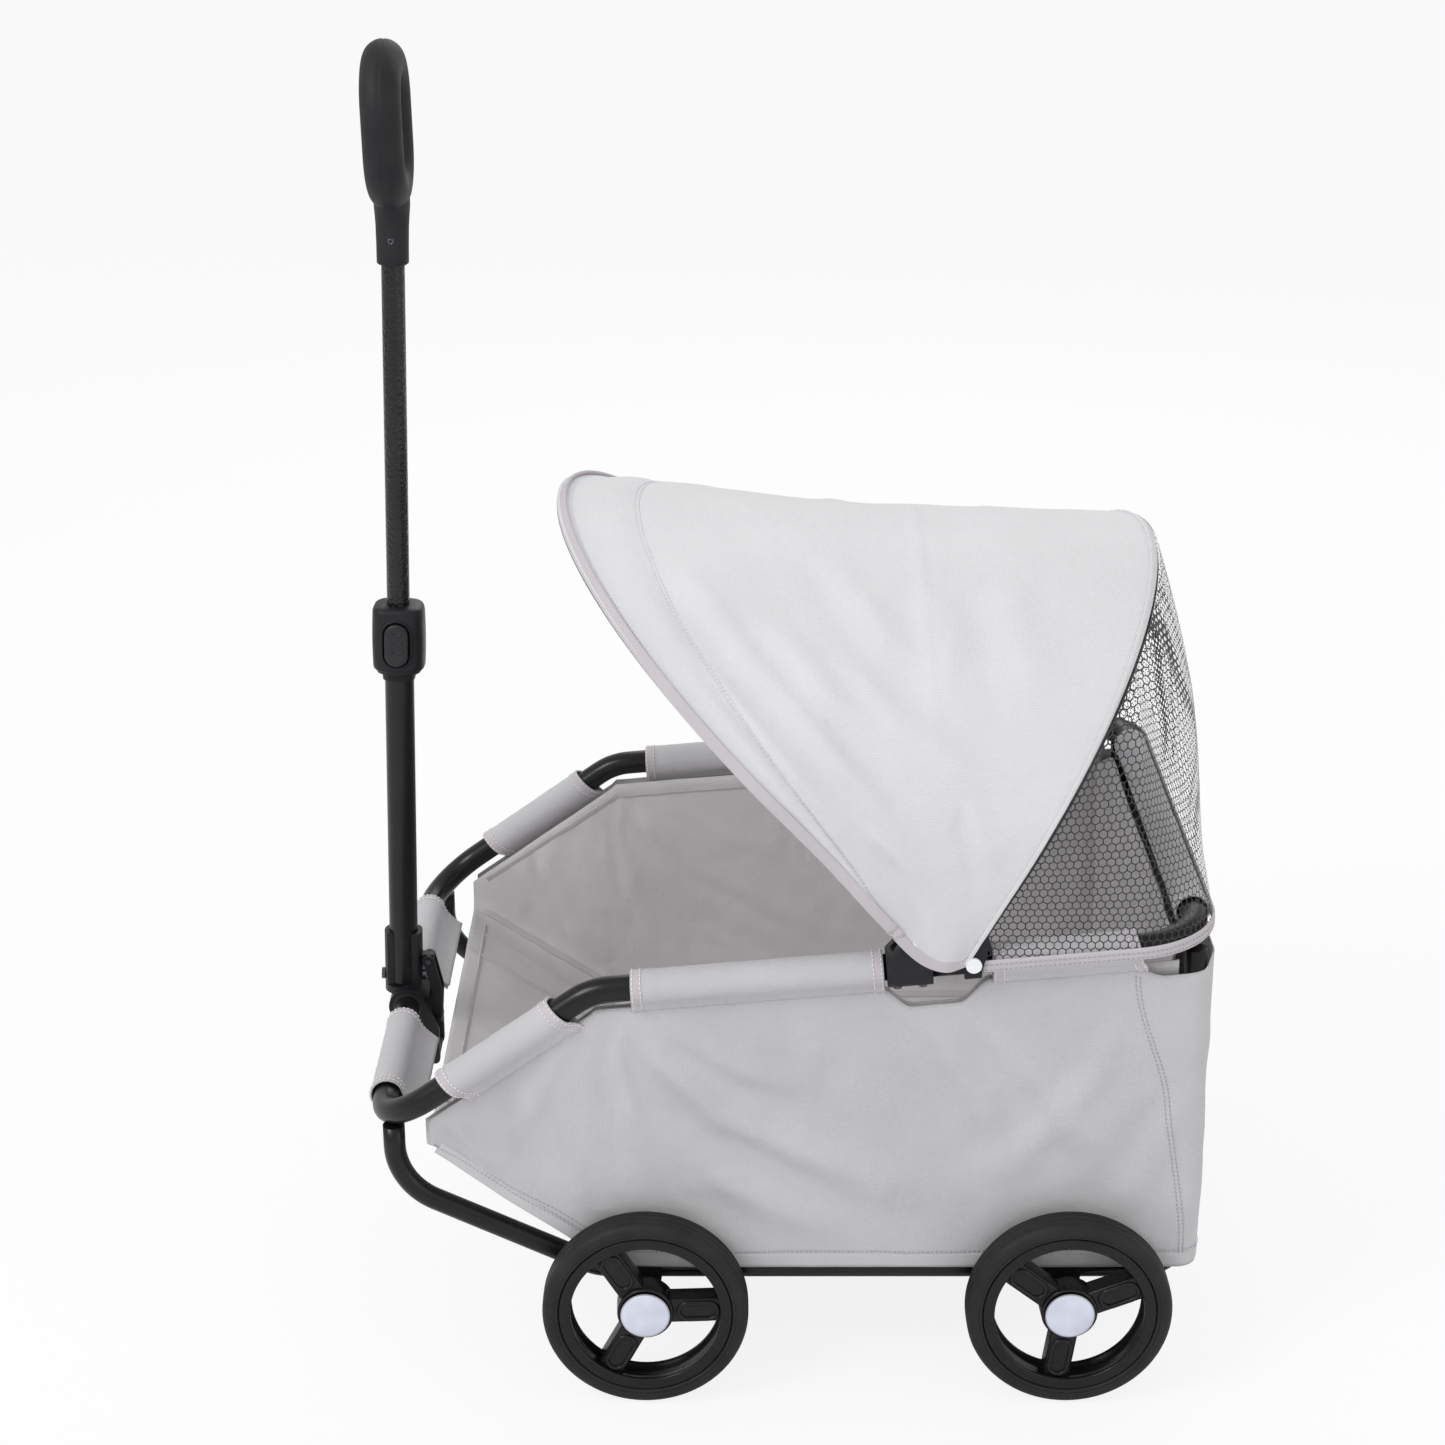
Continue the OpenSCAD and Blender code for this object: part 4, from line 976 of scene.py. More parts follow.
# ---------------------------------------------------------------- tub liner
# The inside of the tub: sides, floor and the sloping front in one sewn shell that sags a little
# between its seams, rounded where the walls meet the floor.
INNER_Y = 208 * MM
TUB_MIDDLE = Vector((0.05, 0, 0.36))


def floor_height(x):
    foot, top = Vector((-129.5, 104.4)), Vector((-261, 191.7))
    x /= MM
    if x >= foot.x + 12:
        return 103 * MM
    t = (foot.x - x) / (foot.x - top.x)
    line = foot.y + t * (top.y - foot.y)
    return max(103, line) * MM if x < foot.x - 12 else (103 + 4 * blend_in(foot.x + 12 - x, 0, 24) * max(0, t * 7)) * MM


def liner_shape(u, v):
    x = -257 * MM + v * (536 * MM)
    low = floor_height(x)
    high = max(low + 8 * MM, top_height(x) - 1 * MM)
    wall = high - low
    radius = min(20 * MM, wall * 0.45)
    flat = 2 * (INNER_Y - radius)
    bend = math.pi / 2 * radius
    side = wall - radius
    total = 2 * side + 2 * bend + flat
    s = u * total
    if s < side:
        return (x, -INNER_Y, high - s)
    if s < side + bend:
        a = (s - side) / radius
        return (x, -INNER_Y + radius - radius * math.cos(a), low + radius - radius * math.sin(a))
    if s < side + bend + flat:
        return (x, -INNER_Y + radius + s - side - bend, low)
    if s < side + 2 * bend + flat:
        a = (s - side - bend - flat) / radius
        return (x, INNER_Y - radius + radius * math.sin(a), low + radius - radius * math.cos(a))
    return (x, INNER_Y, low + radius + s - side - 2 * bend - flat)


def liner_depth(p, i, j):
    x, y, z = p.x / MM, p.y / MM, p.z / MM
    on_wall = blend_in(abs(y), 196, 210)
    lift = 1.6 * noise.noise(Vector((x / 60, y / 60, z / 45 + 5)))
    lift += 0.8 * noise.noise(Vector((x / 22, y / 24, z / 22 + 9)))
    for route, width, depth in SIDE_FOLDS:
        lift += on_wall * 0.5 * fold_at(x + 15, z, route, width, depth) if on_wall > 0 else 0
    pad = 0 if x < -130 else (1 - on_wall) * 1.2
    return -(abs(lift) * 0.8 + pad * abs(noise.noise(Vector((x / 90, y / 70, 0))))) * MM


liner_grid = rippled(grid_of(liner_shape, 150, 170), liner_depth)
# The liner takes the lightened colour, painted light for the tub's shaded inside.
liner = sheet_mesh("tub_liner", liner_grid, 1.1 * MM, liner_painted_fill_grey)
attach(liner, "chassis")
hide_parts("tub_floor", "tub_front")


def rear_wall_shape(u, v):
    y = (2 * v - 1) * (INNER_Y - 1 * MM)
    end = blend_in(abs(y), INNER_Y - 34 * MM, INNER_Y)
    top = 341 * MM - 17 * MM * end
    return (279 * MM + 2 * MM * u - 9 * MM * end * u, y, 103 * MM + (top - 103 * MM) * u)


rear_grid = rippled(grid_of(rear_wall_shape, 50, 110), lambda p, i, j: (
    1.5 * noise.noise(p * 13) + 1.0 * noise.noise(p * 30)) * MM)
# The rear lining takes the same lightened colour, painted light for the tub's shaded inside.
rear_wall = sheet_mesh("tub_rear_lining", rear_grid, 1.1 * MM, liner_painted_fill_grey)
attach(rear_wall, "chassis")

# Taped seams inside: where the walls meet the floor, across the slope's top and foot, and the
# two bands that stiffen the front panel.
seam_pieces = []


def liner_line(points):
    spots = line_on(liner_grid, points, 0)
    return [p + (TUB_MIDDLE - p).normalized() * 1.0 * MM for p in spots]


def liner_u(x, y):
    """Share down the liner's section at station x where its floor is y from the middle."""
    low = floor_height(x)
    wall = max(8 * MM, top_height(x) - 1 * MM - low)
    radius = min(20 * MM, wall * 0.45)
    flat, bend, side = 2 * (INNER_Y - radius), math.pi / 2 * radius, wall - radius
    total = 2 * side + 2 * bend + flat
    if abs(y) > INNER_Y - radius:
        return (side + bend * 0.5) / total if y < 0 else 1 - (side + bend * 0.5) / total
    return (side + bend + y + INNER_Y - radius) / total


def station(x):
    return (x + 257 * MM) / (536 * MM)


inner_seams = []
for side in (-1, 1):
    inner_seams.append([(liner_u(x * MM, side * 210 * MM), station(x * MM)) for x in range(-250, 274, 4)])
    for y in (168, 128):
        inner_seams.append([(liner_u(x * MM, side * y * MM), station(x * MM)) for x in range(-258, -126, 4)])
for u in (0.012, 0.988):
    inner_seams.append([(u, station(x * MM)) for x in range(-246, 274, 4)])
for x in (-246, -131):
    inner_seams.append([(liner_u(x * MM, y * MM), station(x * MM)) for y in range(-186, 187, 6)])
for k, seam in enumerate(inner_seams):
    line = liner_line(seam)
    outs = [(TUB_MIDDLE - p).normalized() for p in line]
    seam_pieces.append(taped("inner_seam", line, outs, 4.5 * MM if k % 3 else 6 * MM, 1.6 * MM, bias_tape))
inner_tapes = joined("tub_inner_tapes", seam_pieces)
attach(inner_tapes, "chassis")


# ---------------------------------------------------------------- rail and end sleeves
# A strip of the same cloth folded over each straight run of rim tube and sewn to itself and to
# the panel below, with a taped mouth at both ends and two rows of white lockstitch.
def sleeve_section(tail, count=40):
    """Half-open loop round the tube, and the two tails that meet below it: (out, up) pairs."""
    r = 11.6 * MM
    ring = []
    for k in range(9):
        t = k / 8
        ring.append((1.0 * MM + 6.2 * MM * t ** 2.2, -tail + (tail - 9.2 * MM) * t))
    for k in range(count - 17):
        a = math.radians(-50 + 280 * k / (count - 18))
        ring.append((r * math.cos(a), r * math.sin(a)))
    for k in range(8):
        t = 1 - (k + 1) / 8
        ring.append((-1.6 * MM - 5.6 * MM * t ** 2.2, -tail + (tail - 9.2 * MM) * t))
    return ring


def sleeve_grid(start, end, out, tail, seed):
    """Rows along the tube, columns round it. out is the side the outer tail lies on."""
    way = (end - start).normalized()
    out = (out - out.dot(way) * way).normalized()
    up = way.cross(out)
    if up.z < 0:
        up = -up
    section = sleeve_section(tail)
    rows = max(12, round((end - start).length / (2.6 * MM)))
    grid = []
    for i in range(rows + 1):
        s = i / rows * (end - start).length
        row = []
        for k, (a, b) in enumerate(section):
            spot = start + way * s
            low = blend_in(-b, 2 * MM, 22 * MM)
            pull = (0.35 + 0.9 * low) * noise.noise(Vector((s * 160, a * 60, b * 70 + seed)))
            pull += 0.5 * low * math.sin(s * 900 + 3 * noise.noise(Vector((s * 40, seed, 0))))
            push = 0.25 + max(-0.2, 0.75 * pull)
            away = Vector((a, b)).normalized() if b > -9 * MM else Vector((math.copysign(1, a), 0))
            row.append(spot + out * (a + away.x * push * MM) + up * (b + away.y * push * MM))
        grid.append(row)
    return grid


def skewed(grid, first, last):
    """Sleeve mouths cut on a slant: rows slide along the tube in step with their height."""
    rows, cols = len(grid), len(grid[0])
    way = (grid[-1][cols // 2] - grid[0][cols // 2]).normalized()
    for i in range(rows):
        share = i / (rows - 1)
        for j in range(cols):
            low = abs(j - (cols - 1) / 2) / ((cols - 1) / 2)
            grid[i][j] = grid[i][j] + way * low * (first * (1 - share) + last * share)
    return grid


def ring_tape(name, grid, row, width, material):
    """Binding round a sleeve's mouth."""
    cols = len(grid[0])
    line = [grid[row][j] for j in range(cols)]
    other = grid[row + (3 if row == 0 else -3)]
    outs = []
    for j in range(cols):
        way = line[min(j + 1, cols - 1)] - line[max(j - 1, 0)]
        outs.append(way.cross(other[j] - line[j]).normalized())
    inward = [(other[j] - line[j]).normalized() * width / 2 for j in range(cols)]
    return taped(name, [a + b for a, b in zip(line, inward)], outs, width, 1.7 * MM, material)


sleeves, mouths = [], []


def add_sleeve(name, start, end, out, tail, seed, first=0.0, last=0.0):
    grid = skewed(sleeve_grid(start, end, out, tail, seed), first, last)
    sleeves.append(sheet_mesh(name, grid, 1.0 * MM, tub_grey))
    for row, label in ((0, "_mouth_a"), (len(grid) - 1, "_mouth_b")):
        mouths.append(ring_tape(name + label, grid, row, 8 * MM, bias_tape))
    margin = 10 * MM / (end - start).length
    for near in (0.15, 0.72):
        for share in (margin * near, 1 - margin * near):
            raw = line_on(grid, [(share, 0.02 + 0.96 * k / 60) for k in range(61)], 0)
            core = start.lerp(end, share)
            chassis_white.append([p + (p - core).normalized() * 1.35 * MM for p in raw])
    return area_of(grid)


slope_way = (rail(BEND_X, 1) - nose_corner(1)).normalized()
sleeve_area = 0
for side in (-1, 1):
    outward = Vector((0, side, 0))
    low = nose_corner(side) + slope_way * 60 * MM
    high = rail(BEND_X, side) - slope_way * 30 * MM
    sleeve_area += add_sleeve("sleeve_slope_%d" % side, low, high, outward, 19 * MM, 3 + side, 8 * MM, 10 * MM)
    sleeve_area += add_sleeve("sleeve_rail_%d" % side, rail(-107 * MM, side), rail(70 * MM, side), outward, 18 * MM,
                              7 + side, -2 * MM, 0)
    sleeve_area += add_sleeve("sleeve_back_%d" % side, rail(146 * MM, side), rail(247 * MM, side), outward, 18 * MM,
                              11 + side, 0, 8 * MM)
    sleeve_area += add_sleeve("sleeve_front_%d" % side, Vector((FRONT_BAR.x, side * 46 * MM, FRONT_BAR.z)),
                              Vector((FRONT_BAR.x, side * 164 * MM, FRONT_BAR.z)), Vector((-0.53, 0, -0.85)),
                              30 * MM, 15 + side)
rear_bar_z = rail(REAR_BAR_X, 1).z
sleeve_area += add_sleeve("sleeve_rear_bar", Vector((REAR_BAR_X, -164 * MM, rear_bar_z)),
                          Vector((REAR_BAR_X, 164 * MM, rear_bar_z)), Vector((1, 0, 0)), 20 * MM, 21)
tub_sleeves = joined("tub_sleeves", sleeves)
tub_mouths = joined("tub_sleeve_tapes", mouths)
for piece in (tub_sleeves, tub_mouths):
    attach(piece, "chassis")
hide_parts("tub_rear")

# Seams of the skirt: the curved one where side meets back, and the nose's double row.
def skirt_share(x, side=-1):
    """Where along the skirt's band a station x of one side lies."""
    total = sum((b - a).length for a, b in zip(skirt_top, skirt_top[1:]))
    share = (x - skirt_top[0].x) / total
    return share if side < 0 else 1 - share


for side in (-1, 1):
    for shift in (0, 3.2):
        seam = []
        for k in range(41):
            t = k / 40
            x = (251 + 24 * blend_in(t, 0, 0.42) + 18 * blend_in(t, 0.3, 1.0) - shift) * MM
            seam.append((0.03 + 0.93 * t, skirt_share(x, side)))
        chassis_grey.append(line_on(skirt_grid, seam, 0.75 * MM))
        nose = [(0.93 - shift * 0.008, skirt_share(x * MM, side)) for x in range(-250, -110, 4)]
        chassis_grey.append(line_on(skirt_grid, nose, 0.75 * MM))


# ---------------------------------------------------------------- canopy
# One piece of lighter cloth pulled from hoop to hoop. Its front edge is rolled round the folding
# hoop and taped; a second row of stitches closes the hoop's channel; the back edge is sewn to the
# net along the rear hoop.
HOOP_R = 4 * MM
HOOP_Y = 225 * MM
pins_low, pins_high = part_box("hoop_hinge_pins")
HINGE = Vector((CLAMP_X, 0, (pins_low.z + pins_high.z) / 2))
REAR_FOOT = Vector((CLIP_X, 0, 357.9 * MM))
CROWN_SAG = 13 * MM
CANOPY_MIDDLE = Vector((0.09, 0, 0.34))
FRONT_ARCH = (HINGE, 140 * MM, -43)
REAR_ARCH = (REAR_FOOT, 56 * MM, 30)


def arch_at(arch, t, out=0.0):
    """A point on a hoop at share t of its length from the right foot; past 0 and 1 it runs on
    straight down. out is the distance outside the rod's centre line."""
    foot, leg, tilt = arch
    total = 2 * leg + math.pi * HOOP_Y
    s = t * total
    if s < leg:
        a, b, n = -HOOP_Y, s, Vector((-1, 0))
    elif s > total - leg:
        a, b, n = HOOP_Y, total - s, Vector((1, 0))
    else:
        turn = (s - leg) / HOOP_Y
        n = Vector((-math.cos(turn), math.sin(turn)))
        a, b = HOOP_Y * n.x, leg + HOOP_Y * n.y
    a += n.x * out
    b += n.y * out
    lean = math.radians(tilt)
    sag = CROWN_SAG * math.sin(math.pi * min(1, max(0, t))) ** 3
    return Vector((foot.x + b * math.sin(lean), a, foot.z + b * math.cos(lean) - sag))


for name, arch, body in (("front_hoop", FRONT_ARCH, "hoop"), ("rear_hoop", REAR_ARCH, "chassis")):
    rod = swept(name + "_rod", [arch_at(arch, k / 160) for k in range(161)], HOOP_R, rod_black, 16)
    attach(rod, body)
    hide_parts(name)

CANOPY_FOLDS = [([(0.17, 0.4), (0.24, 0.28), (0.34, 0.18), (0.5, 0.1)], 0.04, 8.0),
                ([(0.26, 0.36), (0.36, 0.26), (0.52, 0.19), (0.72, 0.14)], 0.05, 9.0),
                ([(0.4, 0.3), (0.52, 0.23), (0.7, 0.18), (0.86, 0.17)], 0.045, 7.0),
                ([(0.44, 0.42), (0.5, 0.34), (0.58, 0.28)], 0.035, 5.5),
                ([(0.6, 0.4), (0.64, 0.31), (0.62, 0.22)], 0.04, 5.0),
                ([(0.74, 0.4), (0.78, 0.31), (0.86, 0.24)], 0.04, 6.0),
                ([(0.3, 0.12), (0.46, 0.08), (0.6, 0.06)], 0.03, 4.0),
                ([(0.68, 0.16), (0.8, 0.11), (0.9, 0.09)], 0.03, 4.5),
                ([(0.12, 0.3), (0.16, 0.2), (0.22, 0.1)], 0.02, 2.4)]


def canopy_shape(u, v):
    front = arch_at(FRONT_ARCH, 0.02 + 0.96 * v, HOOP_R + 1.2 * MM)
    back = arch_at(REAR_ARCH, -0.014 + 1.028 * v, HOOP_R + 1.6 * MM)
    spot = front.lerp(back, u)
    crown = math.sin(math.pi * v)
    inward = (Vector((0, 0, 0.33)) - spot).normalized()
    foot = 1 - blend_in(min(v, 1 - v), 0, 0.08)
    hollow = (2.5 + 5.5 * math.sin(2 * math.pi * min(v, 1 - v)) * crown) * MM
    spot += inward * math.sin(math.pi * u) * hollow * (1 - foot)
    spot.z -= foot * 13 * MM * math.sin(math.pi * u)
    spot.y += math.copysign(7.2 * MM, spot.y) * foot * (1 - blend_in(u, 0.7, 1))
    return spot


def canopy_depth(p, i, j):
    u, v = i / 119, j / 239
    lift = 0
    for side in (0, 1):
        w = v if side == 0 else 1 - v
        for route, width, depth in CANOPY_FOLDS:
            lift += fold_at(u, w * 2.2, [(a, b * 2.2) for a, b in route], width, depth * (1 if side == 0 else 0.8))
    edge = math.sin(math.pi * u) ** 0.6
    lift += 4.5 * edge * noise.noise(p * 9 + Vector((3, 1, 7)))
    lift += 2.2 * edge * noise.noise(p * 21 + Vector((1, 5, 2)))
    lift += 0.6 * edge * noise.noise(p * 60 + Vector((1, 5, 2)))
    crease = blend_in(v, 0.2, 0.34) * (1 - blend_in(v, 0.52, 0.6))
    lift += 2.4 * crease * math.exp(-((u - 0.6) / 0.01) ** 2)
    channel = 0.13
    lift -= 1.6 * math.exp(-((u - channel) / 0.014) ** 2)
    lift += 2.2 * math.exp(-((u - channel * 0.72) / 0.028) ** 2) - 1.6 * math.exp(-((u - channel * 0.3) / 0.02) ** 2)
    pucker = math.exp(-((u - channel) / 0.03) ** 2) + math.exp(-((u - 0.985) / 0.04) ** 2)
    lift += 0.45 * pucker * math.sin(v * 420 + 3 * noise.noise(Vector((v * 30, 0, 0))))
    return -0.62 * lift * MM


raw_canopy = grid_of(canopy_shape, 120, 240)
outward_sign = 1 if across(raw_canopy, 60, 120).z < 0 else -1
canopy_grid = [[p + across(raw_canopy, i, j) * canopy_depth(p, i, j) * outward_sign for j, p in enumerate(row)]
               for i, row in enumerate(raw_canopy)]
canopy = sheet_mesh("canopy_sheet", canopy_grid, 1.0 * MM, canopy_grey)


def along_sheet(grid, u, count, lift):
    """A line across the canopy at share u from its front edge, lifted outwards."""
    spots = line_on(grid, [(u, k / (count - 1)) for k in range(count)], 0)
    return [p + (p - CANOPY_MIDDLE).normalized() * lift for p in spots]


def edge_outs(line):
    return [(p - CANOPY_MIDDLE).normalized() for p in line]


front_line = along_sheet(canopy_grid, 0.008, 300, 0.4 * MM)
front_band = taped("canopy_front_tape", front_line, edge_outs(front_line), 8.5 * MM, 2.6 * MM, bias_tape)
side_bands = []
for v in (0.004, 0.996):
    line = line_on(canopy_grid, [(k / 79, v) for k in range(80)], 0)
    outs = [Vector((0, math.copysign(1, p.y), 0)) for p in line]
    side_bands.append(taped("canopy_side_tape", line, outs, 8 * MM, 2.2 * MM, bias_tape))
back_line = along_sheet(canopy_grid, 0.99, 300, 0.9 * MM)
back_band = taped("canopy_back_tape", back_line, edge_outs(back_line), 3 * MM, 1.8 * MM, canopy_grey)
canopy_tapes = joined("canopy_tapes", [front_band, back_band] + side_bands)
canopy_lines = [along_sheet(canopy_grid, u, 700, 0.9 * MM) for u in (0.026, 0.13, 0.137)]
canopy_stitches = stitched("canopy_stitches", canopy_lines, thread_pale)
canopy_pieces = [canopy, canopy_tapes, canopy_stitches]
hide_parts("canopy_cloth")


# ---------------------------------------------------------------- rear net
# Black knitted hexagonal net from the rear hoop down to the outside of the rim, gathered into the
# hoop's seam so that it looks darker there, and bound in white along its lower edge.
def hex_group():
    """1 on the threads of a hexagonal net and 0 in its holes, from UVs in metres."""
    group, into, out = shader_group("hexagonal_net", ("Cell", "Thread", "Gather"), ("Alpha",))
    nodes, links = group.nodes, group.links

    def vector(kind, a, b=(0, 0, 0), result="Vector"):
        node = nodes.new("ShaderNodeVectorMath")
        node.operation = kind
        for socket, value in zip(node.inputs, (a, b)):
            if hasattr(value, "links"):
                links.new(value, socket)
            else:
                socket.default_value = value
        return node.outputs[result]

    place = nodes.new("ShaderNodeUVMap")
    scaled = nodes.new("ShaderNodeVectorMath")
    scaled.operation = "SCALE"
    links.new(place.outputs["UV"], scaled.inputs[0])
    links.new(number(group, "DIVIDE", 1.0, into.outputs["Cell"]), scaled.inputs["Scale"])
    wobble = nodes.new("ShaderNodeTexNoise")
    wobble.inputs["Scale"].default_value = 60
    links.new(place.outputs["UV"], wobble.inputs["Vector"])
    shift = vector("MULTIPLY", vector("SUBTRACT", wobble.outputs["Color"], (0.5, 0.5, 0.5)), (0.35, 0.35, 0))
    spot = vector("ADD", scaled.outputs[0], shift)
    pitch = (1.0, math.sqrt(3), 1.0)
    half = (0.5, math.sqrt(3) / 2, 0.5)
    first = vector("SUBTRACT", vector("MODULO", vector("ADD", spot, (200, 200 * math.sqrt(3), 0)), pitch), half)
    second = vector("SUBTRACT", vector("MODULO", vector("ADD", spot, (200.5, 200.5 * math.sqrt(3), 0)), pitch), half)
    near = []
    for cell in (first, second):
        size = vector("ABSOLUTE", cell)
        slant = vector("DOT_PRODUCT", size, (0.5, math.sqrt(3) / 2, 0), "Value")
        split = nodes.new("ShaderNodeSeparateXYZ")
        links.new(size, split.inputs[0])
        near.append(number(group, "MAXIMUM", split.outputs["X"], slant))
    edge = number(group, "SUBTRACT", 0.5, number(group, "MINIMUM", near[0], near[1]))
    width = number(group, "MULTIPLY", into.outputs["Thread"], into.outputs["Gather"])
    links.new(number(group, "LESS_THAN", edge, width), out.inputs["Alpha"])
    return group


def net_finish():
    material, tree, shader = new_finish("net_black", {"Base Color": (0.022, 0.022, 0.026, 1), "Sheen Weight": 0.15})
    net = tree.nodes.new("ShaderNodeGroup")
    net.node_tree = hex_group()
    net.inputs["Cell"].default_value = 5.8 * MM
    net.inputs["Thread"].default_value = 0.072
    gather = tree.nodes.new("ShaderNodeAttribute")
    gather.attribute_name = "gather"
    place = new_node(tree, "ShaderNodeTexCoord")
    fuzz = new_node(tree, "ShaderNodeTexNoise", {"Scale": 900})
    rough = new_node(tree, "ShaderNodeMapRange", {"To Min": 0.5, "To Max": 0.8})
    wire(tree, (gather, "Fac", net, "Gather"), (net, "Alpha", shader, "Alpha"), (place, "Object", fuzz, "Vector"),
         (fuzz, "Fac", rough, "Value"), (rough, "Result", shader, "Roughness"))
    return material


NET_PATH = plan_path(CLIP_X + 6 * MM, RAIL_Y + 13.4 * MM, REAR_BAR_X + 13.4 * MM, CORNER_R + 13.4 * MM, 24)


def net_shape(u, v):
    top = arch_at(REAR_ARCH, -0.005 + 1.01 * v, HOOP_R + 0.6 * MM) + Vector((2.4 * MM, 0, 0))
    foot = along_path(NET_PATH, v)
    foot.z = BEND_Z + RAIL_SLOPE * (foot.x - BEND_X) + 1 * MM
    spot = top.lerp(foot, u)
    spot.x += 15 * MM * math.sin(math.pi * u) * math.sin(math.pi * v)
    return spot


def net_depth(p, i, j):
    u, v = i / 79, j / 259
    if u < 0.0333:
        gathers = (1 - blend_in(u, 0.02, 0.45)) * math.sin(math.pi * min(1, u * 30))
    else:
        gathers = 1 - blend_in(u, 0.02, 0.5)
    lift = 0.8 * gathers * math.sin(v * 190 + 4 * noise.noise(Vector((v * 20, 2, 0)))) * math.sin(math.pi * u) ** 0.5
    lift += 3.0 * math.sin(math.pi * u) * noise.noise(Vector((p.x * 14, p.y * 14, p.z * 7)))
    return lift * MM


net_grid = rippled(grid_of(net_shape, 80, 260), net_depth)
net_points = [p for row in net_grid for p in row]
net_faces = []
for i in range(79):
    for j in range(259):
        a = i * 260 + j
        net_faces.append((a, a + 1, a + 261, a + 260))
net_black = net_finish()
net = add_mesh("rear_net", net_points, net_faces, net_black, close=False)


def plan_share(p):
    """How far round the net's foot, in metres, the point nearest to p in plan lies."""
    best, found, run = 9, 0, 0
    for a, b in zip(NET_PATH, NET_PATH[1:]):
        way = Vector((b.x - a.x, b.y - a.y))
        t = min(1, max(0, Vector((p.x - a.x, p.y - a.y)).dot(way) / way.length_squared))
        gap = math.hypot(p.x - a.x - way.x * t, p.y - a.y - way.y * t)
        if gap < best:
            best, found = gap, run + t * way.length
        run += way.length
    return found


def net_gather(u, v):
    """The threads look thicker where the net bunches: along the hoop and in two folds."""
    w = min(v, 1 - v)
    fold = 0.345 + 0.05 * u + 0.008 * math.sin(u * 17)
    bunch = math.exp(-((w - fold) / 0.014) ** 2) + 0.6 * math.exp(-((w - fold - 0.045) / 0.008) ** 2)
    return 1 + 2.2 * bunch * (1 - blend_in(u, 0.8, 1)) + 0.5 * (1 - blend_in(u, 0.0, 0.06))


uvs = net.data.uv_layers.new(name="UVMap")
gather = net.data.attributes.new("gather", "FLOAT", "POINT")
lookup = {}
for i, row in enumerate(net_grid):
    for j, p in enumerate(row):
        lookup[tuple(round(c, 6) for c in p)] = (i, j)
net_places = [lookup.get(tuple(round(c, 6) for c in v.co)) for v in net.data.vertices]
shares = [plan_share(v.co) for v in net.data.vertices]
for loop in net.data.loops:
    spot = net.data.vertices[loop.vertex_index].co
    uvs.data[loop.index].uv = (shares[loop.vertex_index], spot.z)
gather.data.foreach_set("value", [net_gather(i / 79, j / 259) for i, j in net_places])
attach(net, "chassis")
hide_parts("rear_mesh")
foot_line = net_grid[-1]
foot_outs = [Vector((p.x - 0.2, p.y * 1.5, 0)).normalized() for p in foot_line]
net_tape = taped("net_binding", foot_line, foot_outs, 9 * MM, 2.0 * MM, bias_tape)
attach(net_tape, "chassis")
for shift in (1.2, -2.6):
    chassis_grey.append([p + o * 1.5 * MM + Vector((0, 0, shift * MM)) for p, o in zip(foot_line, foot_outs)])
for piece in canopy_pieces:
    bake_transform(piece)


# ---------------------------------------------------------------- pull pole
# Two telescoping steel tubes on a foot that folds round the front bar. The lower one has a satin
# coat, the upper a glossy hammered one; a moulded collar with a push button locks them.
POLE_FOOT = Vector((-294 * MM, 0, 220.5 * MM))
LEAN = math.radians(1.5)


def on_pole(x, y, z):
    """A point given from the pole's foot, in mm along its own leaning axes, in the row frame."""
    return Vector((POLE_FOOT.x + (x * math.cos(LEAN) + z * math.sin(LEAN)) * MM, y * MM,
                   POLE_FOOT.z + (z * math.cos(LEAN) - x * math.sin(LEAN)) * MM))


def hammered_finish():
    """Glossy paint that has drawn up into small round dimples."""
    material = hard_finish("hammered_black", (0.005, 0.005, 0.006), 1500, (0.14, 0.24), 0.02, coat=0.3, shine=0.28)
    tree = material.node_tree
    shader = tree.nodes["Principled BSDF"]
    place = new_node(tree, "ShaderNodeTexCoord")
    cell = tree.nodes.new("ShaderNodeTexVoronoi")
    cell.feature = "SMOOTH_F1"
    cell.inputs["Scale"].default_value = 430
    cell.inputs["Smoothness"].default_value = 0.7
    relief = new_node(tree, "ShaderNodeBump", {"Strength": 0.75, "Distance": 0.0011})
    wire(tree, (place, "Object", cell, "Vector"), (cell, "Distance", relief, "Height"),
         (relief, "Normal", shader, "Normal"))
    return material


def lathe_on_pole(name, profile, material, sides=48):
    """A solid of (radius, height) pairs in mm turned round the pole's axis."""
    points = []
    for r, z in profile:
        for k in range(sides):
            a = 2 * math.pi * k / sides
            points.append(on_pole(r * math.cos(a), r * math.sin(a), z))
    return flat_ended(add_mesh(name, points, ring_faces(len(profile), sides), material))


def along_axis(low, high, steps):
    return [low + (high - low) * k / steps for k in range(steps + 1)]


hammered = hammered_finish()
satin_black = hard_finish("satin_black", (0.006, 0.006, 0.007), 1300, (0.26, 0.34), 0.08, coat=0.1, shine=0.28)
LOWER_R, UPPER_R = 11, 8.5
lower_rows = [(10.2, 1), (LOWER_R, 1.8)] + [(LOWER_R, z) for z in along_axis(4, 311, 40)] + [(10.2, 312)]
lower = lathe_on_pole("lower_tube", lower_rows, satin_black)
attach(lower, "pole")
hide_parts("lower_pole")
upper_rows = [(7.8, 256), (UPPER_R, 256.6)] + [(UPPER_R, z) for z in along_axis(259, 584, 60)] + [(8, 586)]
upper = lathe_on_pole("upper_tube", upper_rows, hammered, 40)
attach(upper, "slider")
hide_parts("upper_pole")


